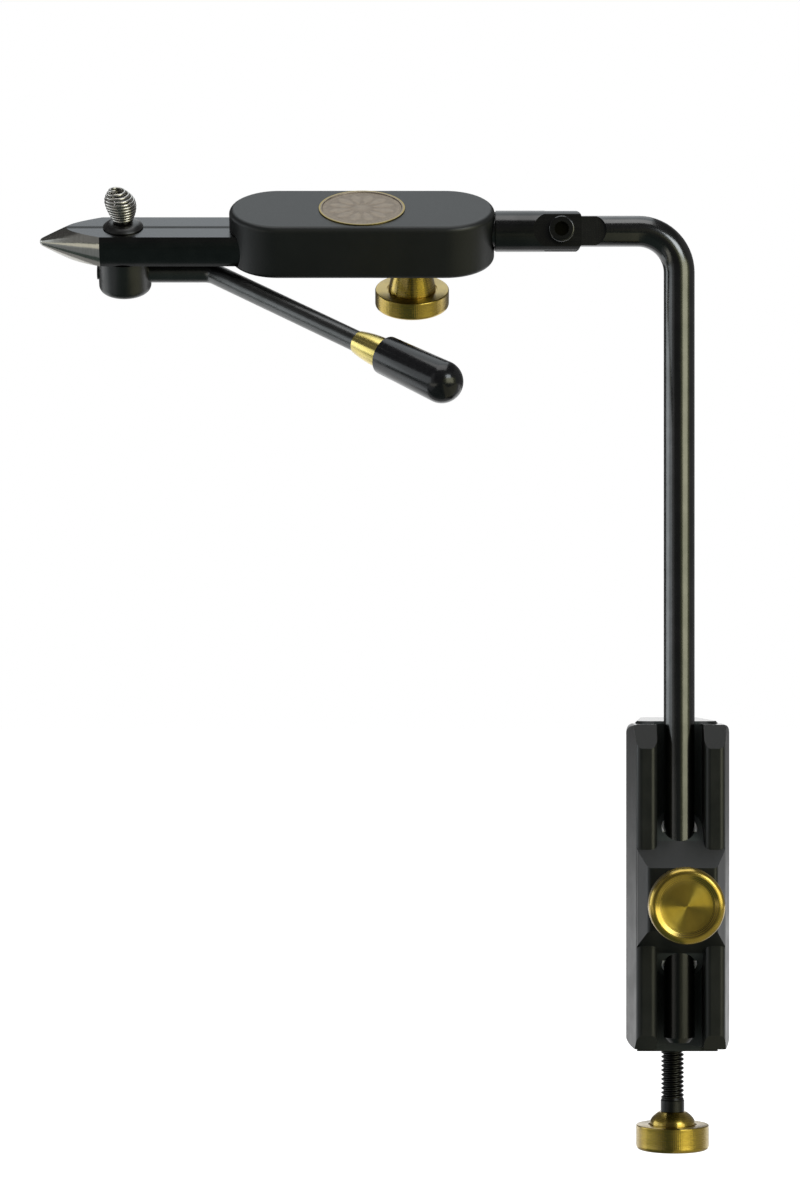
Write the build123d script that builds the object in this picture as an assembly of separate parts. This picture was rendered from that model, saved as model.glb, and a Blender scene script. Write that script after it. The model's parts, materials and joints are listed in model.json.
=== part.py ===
from build123d import *
import math
import os

# A fly tying vise: a bench clamp carries a bent stem, the stem carries a knuckle that tilts,
# and the knuckle carries a head that rolls. The head holds a pair of spring-shut jaws, and a
# lever turns a cam between them to open them.
# Millimetres, +Z up, +X towards the stem, -Y towards the viewer.
# The origin is on the clamp screw's axis, at the underside of the upper clamp jaw.

# Shared clearances
running_clearance = 0.05
face_clearance = 0.12
seat_gap = 0.15
cut_overrun = 2.0

# Bench clamp
clamp_height = 99.5
upper_jaw_thickness = 14.0
upper_jaw_step = 0.7
upper_jaw_root_width = 27.0
upper_jaw_end_width = 19.0
upper_jaw_reach = 20.0
lower_arm_thickness = 19.5
lower_arm_drop = 2.0
lower_arm_root_width = 25.0
lower_boss_radius = 10.5
arm_corner_radius = 4.5
arm_edge_chamfer = 0.8
spine_front_width = 26.9
spine_wide_width = 31.9
spine_back_width = 30.0
spine_front_reach = 8.0
spine_wide_reach = 6.0
spine_back_reach = 11.0
spine_edge_radius = 2.0
spine_corner_radius = 1.3
spine_end_radius = 2.8
spine_bevel_height = 7.2
spine_bevel_depth = 4.6
spine_foot_bevel_height = 4.6
spine_foot_bevel_depth = 3.4
channel_width = 14.4
bridge_top_drop = 35.6
bridge_height = 34.4
bridge_reach = 14.6
bridge_front_width = 20.9
bridge_slope_height = 7.6
bridge_corner_radius = 1.6
screw_setback = 28.0

# Clamp screw with its swivel pad
screw_diameter = 7.14
screw_collar_diameter = 7.5
screw_collar_length = 3.8
screw_below_clamp = 19.7
table_opening = 20.0
pad_diameter = 20.0
pad_thickness = 7.2
pad_rim_thickness = 3.0
pad_neck_diameter = 13.0
pad_socket_depth = 4.6
screw_tip_radius = 2.6
screw_spigot_diameter = 5.4

# Turned brass knobs
knob_diameter = 22.9
knob_neck_base_diameter = 14.4
knob_neck_top_diameter = 11.0
knob_face_round = 1.2
knob_back_round = 0.35
knob_face_diameter = 17.6
knob_face_recess = 0.7
knob_face_wall = 1.1
screw_knob_rim = 7.8
screw_knob_neck = 4.0
screw_knob_neck_top_diameter = 8.6
stem_knob_rim = 6.4
stem_knob_neck = 10.6
head_knob_rim = 5.8
head_knob_neck = 9.0

# Lock screws and their friction plugs
lock_screw_diameter = 6.35
lock_plug_diameter = 5.6
stem_plug_length = 3.6
head_plug_length = 2.2
stem_knob_standoff = 1.4
head_knob_standoff = 0.9
stem_lock_drop = 53.4

# Stem
stem_diameter = 9.525
stem_bend_radius = 12.7
stem_foot_lift = 1.7
stem_foot_chamfer = 1.6
head_axis_height = 165.7
tongue_thickness = 3.3
tongue_end_radius = 4.5
tongue_runout_reach = 13.9
tongue_cutter_radius = 4.85

# Knuckle: a sleeve forked for the stem's tongue, with a spigot for the head
pivot_reach = 36.5
sleeve_diameter = 12.7
sleeve_length = 26.3
ear_reach = 6.3
ear_corner_radius = 2.6
ear_flat_offset = 4.0
ear_flat_reach = 8.5
ear_cutter_radius = 5.3
fork_slot_bottom = 5.0
spigot_diameter = 9.4
spigot_land = 2.85
spigot_groove_depth = 0.5
spigot_groove_width = 7.0
shoulder_gap = 0.35
pivot_screw_diameter = 4.83
pivot_head_diameter = 7.9
pivot_head_height = 4.8
pivot_socket_across_flats = 3.97
pivot_socket_depth = 2.6
pivot_head_round = 0.5

# Head body
head_roll = 29.2
body_length = 81.5
body_width = 30.2
body_top = 7.6
body_bottom = 9.5
body_edge_radius = 1.6
head_knob_share = 0.3104
medallion_diameter = 26.6
medallion_thickness = 1.2
medallion_proud = 0.35
medallion_rim_width = 1.1
medallion_rim_height = 0.25

# Jaws: one round bar with flats above and below, split lengthwise
bar_radius = 9.1
bar_half_height = 4.85
bar_drop = 3.5
bar_split = 0.3
bar_side_clearance = 0.55
jaw_reach = 58.5
nose_length = 18.9
nose_bulge = 0.3
nose_tip_radius = 1.25
nose_tip_length = 0.75
fulcrum_share = 0.2086
fulcrum_pin_diameter = 4.0
fulcrum_pin_offset = 5.0
fulcrum_pin_roof_depth = 4.0
tail_share = 0.2822
tail_relief = 1.3
tail_end_clearance = 1.2

# Spring that holds the jaws shut
jaw_spring_inset = 5.5
jaw_spring_radius = 2.9
jaw_spring_wire = 0.9
jaw_spring_pocket_depth = 3.0
jaw_spring_pocket_clearance = 0.3
jaw_spring_turns = 5.0

# Cam spindle: hub, cam and stud turned in one piece
cam_reach = 32.7
cam_radius = 5.0
cam_flat_offset = 3.2
cam_pocket_clearance = 0.2
stud_diameter = 4.4
stud_height = 9.0
hub_diameter = 16.2
hub_height = 11.6
hub_bottom_radius = 2.4
set_screw_diameter = 4.4
set_screw_proud = 0.4
set_screw_socket_across_flats = 2.0
set_screw_socket_depth = 1.8

# Lever
lever_rod_diameter = 6.35
lever_rod_inset = 2.0
lever_rod_drop = 5.3
lever_bend_reach = 26.8
lever_bend_radius = 5.5
lever_splay = 43.5
lever_drop = 3.0
lever_bare_length = 63.5
ferrule_length = 11.1
ferrule_end_diameter = 9.1
ferrule_bulge = 0.35
ferrule_start_wall = 0.35
grip_length = 29.3
grip_start_diameter = 11.8
grip_end_diameter = 12.8
grip_bore_depth = 19.0

# Material spring on its button, above the cam
button_diameter = 12.4
button_rim_height = 0.25
button_flare_height = 1.6
button_flare_hollow = 0.4
button_top_diameter = 5.8
spring_wire = 0.78
spring_base_radius = 2.75
spring_waist_radius = 4.45
spring_top_radius = 2.2
spring_waist_share = 0.6
spring_height = 10.0
spring_turns = 8.25
spring_lean = 10.0

# Places that follow from the sizes above
stem_radius = stem_diameter / 2
stem_y = -screw_setback
clamp_top = upper_jaw_thickness
clamp_bottom = clamp_top - clamp_height
spine_front = stem_y - spine_front_reach
spine_back = stem_y + spine_back_reach
bridge_front = stem_y - bridge_reach
bridge_top = clamp_top - bridge_top_drop
bridge_bottom = bridge_top - bridge_height
lock_height = clamp_top - stem_lock_drop
lower_arm_bottom = clamp_bottom - lower_arm_drop
lower_arm_top = lower_arm_bottom + lower_arm_thickness
screw_radius = screw_diameter / 2
pad_top = -table_opening
pad_bottom = pad_top - pad_thickness
screw_collar_top = clamp_bottom - screw_below_clamp
screw_collar_bottom = screw_collar_top - screw_collar_length
lock_screw_radius = lock_screw_diameter / 2
plug_radius = lock_plug_diameter / 2
stem_plug_back = stem_y - stem_radius - seat_gap
stem_plug_front = stem_plug_back - stem_plug_length
stem_knob_back = bridge_front - stem_knob_standoff
pivot_x = -pivot_reach
fork_end = pivot_x + ear_reach
sleeve_front = fork_end - sleeve_length
body_rear = sleeve_front - shoulder_gap
body_front = body_rear - body_length
body_middle = body_rear - body_length / 2
head_knob_x = body_rear - body_length * head_knob_share
spigot_end = head_knob_x - spigot_groove_width / 2 - spigot_land
tip_x = body_front - jaw_reach
nose_base = tip_x + nose_length
fulcrum_x = body_front + body_length * fulcrum_share
tail_end = fulcrum_x + body_length * tail_share
slot_end = tail_end + tail_end_clearance
spring_pocket_x = tail_end - jaw_spring_inset
cam_x = body_front - cam_reach
spigot_radius = spigot_diameter / 2
hub_top = -bar_half_height - face_clearance
hub_bottom = hub_top - hub_height
rod_height = hub_top - lever_rod_drop
button_bottom = bar_half_height + face_clearance
button_top = button_bottom + button_rim_height + button_flare_height
rod_radius = lever_rod_diameter / 2
half_turn = math.pi

# The head's own frame: x along the vise, origin on the roll axis level with the stem
head_frame = Pos(0, stem_y, head_axis_height) * Rot(head_roll, 0, 0)
bar_frame = head_frame * Pos(0, 0, -bar_drop)
cam_frame = bar_frame * Pos(cam_x, 0, 0)


def span_box(low, high):
    """A box between two corners."""
    size = [b - a for a, b in zip(low, high)]
    return Pos(*low) * Box(*size, align=(Align.MIN, Align.MIN, Align.MIN))


def rod_between(start, end, radius):
    """A straight round rod from one point to another."""
    direction = Vector(*end) - Vector(*start)
    section = Plane(origin=start, z_dir=direction) * Circle(radius)
    return extrude(section, amount=direction.length, dir=direction.normalized())


def upright_prism(outline, low, high, corner_radius=0):
    """An outline in X and Y, its corners rounded, standing from one height to another."""
    face = Polygon(*outline, align=None)
    if corner_radius:
        face = fillet(face.vertices(), corner_radius)
    return Pos(0, 0, low) * extrude(face, amount=high - low, dir=(0, 0, 1))


def side_prism(outline, half_width):
    """An outline in Y and Z, extruded both ways along X."""
    return extrude(Plane.YZ * Polygon(*outline, align=None), amount=half_width, both=True)


def spine_plan():
    """The spine seen from above: two legs round a deep channel, their front edges rounded."""
    half_front = spine_front_width / 2
    half_wide = spine_wide_width / 2
    half_back = spine_back_width / 2
    wide = stem_y + spine_wide_reach
    outline = [
        (-half_front, spine_front),
        (half_front, spine_front),
        (half_wide, wide),
        (half_back, spine_back),
        (-half_back, spine_back),
        (-half_wide, wide),
    ]
    mouth = spine_front - cut_overrun
    channel = Pos(0, stem_y) * Circle(channel_width / 2)
    channel += Pos(0, (stem_y + mouth) / 2) * Rectangle(channel_width, stem_y - mouth)
    plan = Polygon(*outline, align=None) - channel
    plan = fillet(plan.vertices().group_by(Axis.Y)[0], spine_edge_radius)
    return fillet(plan.vertices().group_by(Axis.Y)[-1], spine_corner_radius)


def clamp_frame():
    """The cast C-shaped frame: a channelled spine, a bored bridge and two arms."""
    head_bevel = spine_front + spine_bevel_depth
    foot_bevel = spine_front + spine_foot_bevel_depth
    profile = [
        (spine_front, clamp_bottom + spine_foot_bevel_height),
        (foot_bevel, clamp_bottom),
        (spine_back, clamp_bottom),
        (spine_back, clamp_top),
        (head_bevel, clamp_top),
        (spine_front, clamp_top - spine_bevel_height),
    ]
    spine = Pos(0, 0, clamp_bottom) * extrude(spine_plan(), amount=clamp_height)
    spine &= side_prism(profile, spine_wide_width)
    front = RectangleRounded(spine_wide_width, clamp_height, spine_end_radius)
    front = Plane.XZ * Pos(0, (clamp_top + clamp_bottom) / 2) * front
    spine &= extrude(front, amount=-spine_front + cut_overrun, both=True)
    frame = spine + bridge() + upper_arm() + lower_arm()
    low = clamp_bottom - cut_overrun
    high = clamp_top + cut_overrun
    bore_radius = stem_radius + running_clearance
    frame -= rod_between((0, stem_y, low), (0, stem_y, high), bore_radius)
    lock_radius = lock_screw_radius + running_clearance
    frame -= rod_between(
        (0, bridge_front - cut_overrun, lock_height), (0, stem_y, lock_height), lock_radius
    )
    return frame


def bridge():
    """The block across the channel that grips the stem, sloped above and below."""
    half_front = bridge_front_width / 2
    half_root = spine_front_width / 2
    plan = [
        (-half_root, stem_y),
        (-half_root, spine_front),
        (-half_front, bridge_front),
        (half_front, bridge_front),
        (half_root, spine_front),
        (half_root, stem_y),
    ]
    back = stem_y + channel_width / 2
    bore_front = stem_y - stem_radius
    slope = bridge_slope_height / (bore_front - bridge_front)
    high = bridge_top + slope * (back - bore_front)
    low = bridge_bottom - slope * (back - bore_front)
    profile = [
        (back, low),
        (back, high),
        (bridge_front, bridge_top - bridge_slope_height),
        (bridge_front, bridge_bottom + bridge_slope_height),
    ]
    nose = upright_prism(plan, low, high, bridge_corner_radius)
    core = span_box((-channel_width / 2, bore_front, low), (channel_width / 2, back, high))
    return (nose + core) & side_prism(profile, spine_front_width)


def arm_plan(root_width, end_width, end):
    """A tapering arm seen from above, from inside the spine to its far end."""
    return [
        (-root_width / 2, stem_y + channel_width / 2 + seat_gap),
        (root_width / 2, stem_y + channel_width / 2 + seat_gap),
        (end_width / 2, end),
        (-end_width / 2, end),
    ]


def upper_arm():
    """The fixed jaw that lies on the table."""
    plan = arm_plan(upper_jaw_root_width, upper_jaw_end_width, upper_jaw_reach)
    arm = upright_prism(plan, 0, clamp_top + upper_jaw_step, arm_corner_radius)
    return chamfer(arm.faces().sort_by(Axis.Z)[-1].edges(), arm_edge_chamfer)


def lower_arm():
    """The arm under the table, with a round boss for the clamp screw."""
    plan = arm_plan(lower_arm_root_width, lower_boss_radius * 2, 0)
    arm = upright_prism(plan, lower_arm_bottom, lower_arm_top)
    arm += rod_between((0, 0, lower_arm_bottom), (0, 0, lower_arm_top), lower_boss_radius)
    low = lower_arm_bottom - cut_overrun
    high = lower_arm_top + cut_overrun
    return arm - rod_between((0, 0, low), (0, 0, high), screw_radius + running_clearance)


def swivel_pad():
    """The pressure pad: a flat disc with a socket below for the screw's round tip."""
    rim_bottom = pad_top - pad_rim_thickness
    disc = rod_between((0, 0, rim_bottom), (0, 0, pad_top), pad_diameter / 2)
    neck = rod_between((0, 0, pad_bottom), (0, 0, rim_bottom), pad_neck_diameter / 2)
    socket_top = pad_bottom + pad_socket_depth
    socket_radius = screw_tip_radius + running_clearance
    socket = rod_between((0, 0, pad_bottom - cut_overrun), (0, 0, socket_top), socket_radius)
    pad = fillet((disc + neck).edges().filter_by(GeomType.CIRCLE), arm_edge_chamfer)
    return pad - socket


def clamp_screw():
    """The screw: a round tip in the pad, the threaded length, a collar and a knob spigot."""
    tip_top = pad_bottom + pad_socket_depth - seat_gap
    shoulder = pad_bottom - seat_gap
    spigot_bottom = screw_collar_bottom - screw_knob_neck - screw_knob_rim + knob_face_recess
    thread = rod_between((0, 0, screw_collar_top), (0, 0, shoulder), screw_radius)
    tip = rod_between((0, 0, shoulder), (0, 0, tip_top), screw_tip_radius)
    collar = rod_between(
        (0, 0, screw_collar_bottom), (0, 0, screw_collar_top), screw_collar_diameter / 2
    )
    spigot = rod_between(
        (0, 0, spigot_bottom + knob_face_wall), (0, 0, screw_collar_bottom), screw_spigot_diameter / 2
    )
    return thread + tip + collar + spigot


def turned_knob(rim, neck, neck_top_diameter, bore_radius):
    """A brass knob standing on Z=0 with its neck up: rim, domed neck and a dished face."""
    outer = knob_diameter / 2
    face = knob_face_diameter / 2
    neck_base = knob_neck_base_diameter / 2
    top = rim + neck
    corners = [
        (0, knob_face_recess),
        (face, knob_face_recess),
        (face + knob_face_wall, 0),
        (outer - knob_face_round, 0),
        (outer, knob_face_round),
        (outer, rim - knob_back_round),
        (outer - knob_back_round, rim),
        (neck_base, rim),
        (neck_top_diameter / 2, top),
        (0, top),
    ]
    dome = TangentArc(corners[7], corners[8], tangent=(0, 1))
    outline = Polyline(*corners[:4]) + RadiusArc(corners[3], corners[4], -knob_face_round)
    outline += Line(corners[4], corners[5]) + RadiusArc(corners[5], corners[6], -knob_back_round)
    outline += Line(corners[6], corners[7]) + dome + Polyline(corners[8], corners[9], corners[0])
    knob = revolve(make_face(Plane.XZ * outline), Axis.Z)
    floor = knob_face_recess + knob_face_wall
    return knob - rod_between((0, 0, floor), (0, 0, top + cut_overrun), bore_radius)


def clamp_screw_knob():
    """The knob under the clamp, its neck against the screw's collar."""
    bore_radius = screw_spigot_diameter / 2
    knob = turned_knob(screw_knob_rim, screw_knob_neck, screw_knob_neck_top_diameter, bore_radius)
    return Pos(0, 0, screw_collar_bottom - screw_knob_neck - screw_knob_rim) * knob


def stem_lock_place():
    """Where the stem lock sits: its own +Z points into the clamp, from the bridge's front."""
    return Pos(0, bridge_front, lock_height) * Rot(-90, 0, 0)


def lock_screw(tip_height, neck_height, rim, neck):
    """A lock screw on its own +Z: a tip that bears on the plug, and a spigot in the knob."""
    bottom = neck_height - neck - rim + knob_face_recess + knob_face_wall
    return rod_between((0, 0, bottom), (0, 0, tip_height), lock_screw_radius)


def stem_lock_screw():
    """The screw that presses the plug against the stem."""
    tip = stem_plug_front - bridge_front - running_clearance
    return stem_lock_place() * lock_screw(tip, -stem_knob_standoff, stem_knob_rim, stem_knob_neck)


def stem_lock_plug():
    """The short friction plug between the lock screw and the stem."""
    start = (0, stem_plug_front, lock_height)
    return rod_between(start, (0, stem_plug_back, lock_height), plug_radius)


def stem_lock_knob():
    """The knob in front of the clamp, dished face forward."""
    knob = turned_knob(stem_knob_rim, stem_knob_neck, knob_neck_top_diameter, lock_screw_radius)
    height = -stem_knob_standoff - stem_knob_neck - stem_knob_rim
    return stem_lock_place() * Pos(0, 0, height) * knob


def stem():
    """The bent rod, with a flat tongue at its upper end for the knuckle."""
    end_x = pivot_x - tongue_end_radius
    foot = clamp_bottom + stem_foot_lift
    corner = (0, stem_y, head_axis_height)
    path = FilletPolyline(
        (end_x, stem_y, head_axis_height), corner, (0, stem_y, foot), radius=stem_bend_radius
    )
    section = Plane(origin=(end_x, stem_y, head_axis_height), z_dir=(1, 0, 0)) * Circle(stem_radius)
    rod = sweep(section, path=path)
    rod = chamfer(rod.edges().sort_by(Axis.Z)[0], stem_foot_chamfer)
    arm = Pos(0, stem_y, head_axis_height)
    half = tongue_thickness / 2
    runout_middle = -(pivot_reach - tongue_runout_reach) - tongue_cutter_radius
    reach = stem_radius + cut_overrun
    for low, high in ((-reach, -half), (half, reach)):
        rod -= arm * span_box((end_x - cut_overrun, low, -reach), (runout_middle, high, reach))
        rod -= arm * rod_between((runout_middle, low, 0), (runout_middle, high, 0), tongue_cutter_radius)
    tip_block = span_box((end_x - cut_overrun, -half, -reach), (pivot_x, half, reach))
    tip_round = rod_between((pivot_x, -reach, 0), (pivot_x, reach, 0), tongue_end_radius)
    rod -= arm * (tip_block - tip_round)
    hole_radius = pivot_screw_diameter / 2 + running_clearance
    return rod - arm * rod_between((pivot_x, -reach, 0), (pivot_x, reach, 0), hole_radius)


def pivot_sleeve():
    """The knuckle: a fork with milled flats at one end, a grooved spigot at the other."""
    radius = sleeve_diameter / 2
    sleeve = rod_between((sleeve_front, 0, 0), (fork_end, 0, 0), radius)
    outline = Plane.XZ * Polygon(
        (sleeve_front, -radius), (fork_end, -radius), (fork_end, radius), (sleeve_front, radius), align=None
    )
    rounded = fillet(outline.vertices().sort_by(Axis.X)[2:], ear_corner_radius)
    sleeve &= extrude(rounded, amount=radius, both=True)
    reach = radius + cut_overrun
    flat_middle = pivot_x - ear_flat_reach + ear_cutter_radius
    for low, high in ((-reach, -ear_flat_offset), (ear_flat_offset, reach)):
        sleeve -= span_box((flat_middle, low, -reach), (fork_end + cut_overrun, high, reach))
        sleeve -= rod_between((flat_middle, low, 0), (flat_middle, high, 0), ear_cutter_radius)
    half_slot = tongue_thickness / 2 + face_clearance
    slot_bottom = pivot_x - fork_slot_bottom
    sleeve -= span_box((slot_bottom, -half_slot, -reach), (fork_end + cut_overrun, half_slot, reach))
    sleeve -= rod_between((pivot_x, -reach, 0), (pivot_x, reach, 0), pivot_screw_diameter / 2)
    sleeve += rod_between((spigot_end, 0, 0), (sleeve_front, 0, 0), spigot_radius)
    groove_start = head_knob_x - spigot_groove_width / 2
    groove_end = head_knob_x + spigot_groove_width / 2
    ring = rod_between((groove_start, 0, 0), (groove_end, 0, 0), spigot_radius + cut_overrun)
    ring -= rod_between((groove_start, 0, 0), (groove_end, 0, 0), spigot_radius - spigot_groove_depth)
    return Pos(0, stem_y, head_axis_height) * (sleeve - ring)


def pivot_screw():
    """The cap screw on which the knuckle tilts, its hexagon socket towards the viewer."""
    head_front = -ear_flat_offset - pivot_head_height
    shank = rod_between((0, -ear_flat_offset, 0), (0, ear_flat_offset, 0), pivot_screw_diameter / 2)
    head = rod_between((0, head_front, 0), (0, -ear_flat_offset, 0), pivot_head_diameter / 2)
    head = fillet(head.edges().sort_by(Axis.Y)[0], pivot_head_round)
    socket_corner = pivot_socket_across_flats / math.sqrt(3)
    hexagon = Plane(origin=(0, head_front, 0), z_dir=(0, 1, 0)) * RegularPolygon(socket_corner, 6)
    head -= extrude(hexagon, amount=pivot_socket_depth)
    return Pos(pivot_x, stem_y, head_axis_height) * (shank + head)


def bar_section(side_clearance, face_gap):
    """The bar's round section with flats above and below, standing across X."""
    height = (bar_half_height + face_gap) * 2
    width = (bar_radius + side_clearance) * 2
    return Plane.YZ * (Circle(bar_radius + side_clearance) & Rectangle(width, height))


def head_body():
    """The head: a round-ended block, slotted for the jaws and bored for the knuckle's spigot."""
    block = extrude(SlotOverall(body_length, body_width), amount=body_top + body_bottom)
    block = Pos(body_middle, 0, -body_bottom) * block
    ends = [block.faces().sort_by(Axis.Z)[0], block.faces().sort_by(Axis.Z)[-1]]
    block = fillet([edge for face in ends for edge in face.edges()], body_edge_radius)
    slot_start = body_front - cut_overrun
    slot = extrude(bar_section(bar_side_clearance, face_clearance), amount=slot_end - slot_start)
    block -= Pos(slot_start, 0, -bar_drop) * slot
    bore_radius = spigot_radius + running_clearance
    bore_end = spigot_end - seat_gap
    block -= rod_between((bore_end, 0, 0), (body_rear + cut_overrun, 0, 0), bore_radius)
    screw_hole = lock_screw_radius + running_clearance
    block -= rod_between((head_knob_x, 0, -body_bottom - cut_overrun), (head_knob_x, 0, 0), screw_hole)
    for pin in fulcrum_places():
        block -= pin
    recess = medallion_thickness - medallion_proud
    low = (body_middle, 0, body_top - recess)
    high = (body_middle, 0, body_top + cut_overrun)
    block -= rod_between(low, high, medallion_diameter / 2)
    return head_frame * block


def fulcrum_places():
    """The two upright pins that the jaws rock on, in the head's frame."""
    roof = -bar_drop + bar_half_height + face_clearance + fulcrum_pin_roof_depth
    radius = fulcrum_pin_diameter / 2
    places = (-fulcrum_pin_offset, fulcrum_pin_offset)
    return [rod_between((fulcrum_x, y, -body_bottom), (fulcrum_x, y, roof), radius) for y in places]


def fulcrum_pins():
    """Both fulcrum pins, pressed into the head from below."""
    return head_frame * Compound(children=[Part(pin.wrapped) for pin in fulcrum_places()])


def medallion():
    """A thin round inlay with a raised rim, let into the head's top."""
    low = body_top + medallion_proud - medallion_thickness
    top = body_top + medallion_proud
    radius = medallion_diameter / 2
    disc = rod_between((body_middle, 0, low), (body_middle, 0, top), radius)
    inner = radius - medallion_rim_width
    floor = top - medallion_rim_height
    disc -= rod_between((body_middle, 0, floor), (body_middle, 0, top + cut_overrun), inner)
    return head_frame * disc


def head_lock_plug():
    """The friction plug between the head's lock screw and the knuckle's spigot."""
    top = -(spigot_radius - spigot_groove_depth) - seat_gap
    bottom = top - head_plug_length
    return head_frame * rod_between((head_knob_x, 0, bottom), (head_knob_x, 0, top), plug_radius)


def head_lock_place():
    """Where the head lock sits: its own +Z points up into the head, from the underside."""
    return head_frame * Pos(head_knob_x, 0, -body_bottom)


def head_lock_screw():
    """The screw that presses the plug against the spigot."""
    plug_top = -(spigot_radius - spigot_groove_depth) - seat_gap
    tip = plug_top - head_plug_length + body_bottom - running_clearance
    return head_lock_place() * lock_screw(tip, -head_knob_standoff, head_knob_rim, head_knob_neck)


def head_lock_knob():
    """The knob under the head."""
    knob = turned_knob(head_knob_rim, head_knob_neck, knob_neck_top_diameter, lock_screw_radius)
    height = -head_knob_standoff - head_knob_neck - head_knob_rim
    return head_lock_place() * Pos(0, 0, height) * knob


def jaw(side):
    """One jaw half: a turned nose, the bar, a cam pocket, a fulcrum hole and a relieved tail."""
    tip_end = (tip_x + nose_tip_length, nose_tip_radius)
    outline = TangentArc((tip_x, 0), tip_end, tangent=(0, 1))
    outline += SagittaArc(tip_end, (nose_base, bar_radius), nose_bulge)
    outline += Polyline((nose_base, bar_radius), (tail_end, bar_radius), (tail_end, 0), (tip_x, 0))
    bar = revolve(make_face(outline), Axis.X)
    half_split = bar_split / 2
    reach = bar_radius + cut_overrun
    low = (tip_x - cut_overrun, half_split, -bar_half_height)
    half = bar & span_box(low, (tail_end + cut_overrun, reach, bar_half_height))
    pocket_reach = cam_radius + cam_pocket_clearance
    pocket_depth = cam_flat_offset + face_clearance
    half -= span_box(
        (cam_x - pocket_reach, 0, -reach), (cam_x + pocket_reach, pocket_depth, reach)
    )
    hole = fulcrum_pin_diameter / 2 + running_clearance
    half -= rod_between(
        (fulcrum_x, fulcrum_pin_offset, -reach), (fulcrum_x, fulcrum_pin_offset, reach), hole
    )
    relief = [
        (fulcrum_x, 0),
        (tail_end + cut_overrun, 0),
        (tail_end + cut_overrun, tail_relief),
        (tail_end, tail_relief),
        (fulcrum_x, half_split),
    ]
    half -= upright_prism(relief, -reach, reach)
    pocket_radius = jaw_spring_radius + jaw_spring_wire / 2 + jaw_spring_pocket_clearance
    half -= rod_between(
        (spring_pocket_x, 0, 0), (spring_pocket_x, jaw_spring_pocket_end(), 0), pocket_radius
    )
    return bar_frame * (half if side > 0 else mirror(half, Plane.XZ))


def jaw_spring_pocket_end():
    """How far from the split the bottom of the spring's pocket lies."""
    return tail_relief + jaw_spring_pocket_depth


def biarc(start, start_direction, end, end_direction):
    """Two arcs that leave start and reach end in the given directions."""
    chord = end - start
    both = start_direction + end_direction
    bend = (1 - start_direction.dot(end_direction)) * 2
    along = chord.dot(both)
    reach = (math.sqrt(along * along + bend * chord.dot(chord)) - along) / bend
    first_corner = start + start_direction * reach
    last_corner = end - end_direction * reach
    middle = (first_corner + last_corner) / 2
    across = (last_corner - first_corner).normalized()
    first = Edge.make_tangent_arc(start, start_direction, middle)
    return [first, Edge.make_tangent_arc(middle, across, end)]


def coil(point_at, turns, wire):
    """A wire swept along a coil given by a formula of the turned angle, with its least gap."""
    step = half_turn / 2
    count = round(turns * half_turn * 2 / step)
    small = step / count
    places = [point_at(step * n) for n in range(count + 1)]
    slopes = [
        (point_at(step * n + small) - point_at(step * n - small)).normalized()
        for n in range(count + 1)
    ]
    edges = []
    for n in range(count):
        edges += biarc(places[n], slopes[n], places[n + 1], slopes[n + 1])
    section = Plane(origin=places[0], z_dir=slopes[0]) * Circle(wire / 2)
    fine = [point_at(step * n / 4) for n in range(count * 4 + 1)]
    apart = range(len(fine))
    gap = min((fine[a] - fine[b]).length for a in apart for b in apart if b - a > 8) - wire
    return sweep(section, path=Wire(edges)), gap


def jaw_spring():
    """The stiff spring between the jaws' tails."""
    end = jaw_spring_pocket_end() - seat_gap - jaw_spring_wire / 2
    full = jaw_spring_turns * half_turn * 2

    def point_at(angle):
        across = -end + end * 2 * angle / full
        return Vector(
            spring_pocket_x + jaw_spring_radius * math.cos(angle),
            across,
            jaw_spring_radius * math.sin(angle),
        )

    solid, gap = coil(point_at, jaw_spring_turns, jaw_spring_wire)
    print("jaw spring, least gap between turns", round(gap, 3))
    return bar_frame * solid


def cam_spindle():
    """Hub, cam and stud in one turned piece: the hub takes the lever, the flats spread the jaws."""
    reach = hub_diameter / 2 + cut_overrun
    hub = rod_between((0, 0, hub_bottom), (0, 0, hub_top), hub_diameter / 2)
    hub = fillet(hub.edges().sort_by(Axis.Z)[0], hub_bottom_radius)
    cam = rod_between((0, 0, hub_top), (0, 0, button_bottom), cam_radius)
    cam &= span_box((-reach, -cam_flat_offset, hub_top), (reach, cam_flat_offset, button_bottom))
    stud_top = button_bottom + stud_height
    stud = rod_between((0, 0, button_bottom), (0, 0, stud_top), stud_diameter / 2)
    spindle = hub + cam + stud
    spindle -= rod_between((-lever_rod_inset, 0, rod_height), (reach, 0, rod_height), rod_radius)
    screw_hole = rod_between((-reach, 0, rod_height), (0, 0, rod_height), set_screw_diameter / 2)
    return cam_frame * (spindle - screw_hole)


def hub_set_screw():
    """The grub screw in the front of the hub's cross hole, against the lever's end."""
    front = -hub_diameter / 2 - set_screw_proud
    screw = rod_between((front, 0, rod_height), (-lever_rod_inset, 0, rod_height), set_screw_diameter / 2)
    corner = set_screw_socket_across_flats / math.sqrt(3)
    hexagon = Plane(origin=(front, 0, rod_height), z_dir=(1, 0, 0)) * RegularPolygon(corner, 6)
    return cam_frame * (screw - extrude(hexagon, amount=set_screw_socket_depth))


def lever_direction():
    """The direction of the lever behind its bend, in the cam's frame."""
    splay = math.radians(lever_splay)
    drop = math.radians(lever_drop)
    level = math.cos(drop)
    return Vector(level * math.cos(splay), -level * math.sin(splay), -math.sin(drop))


def lever_point(distance):
    """A point on the lever's line, this far behind its bend."""
    return Vector(lever_bend_reach, 0, rod_height) + lever_direction() * distance


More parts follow.
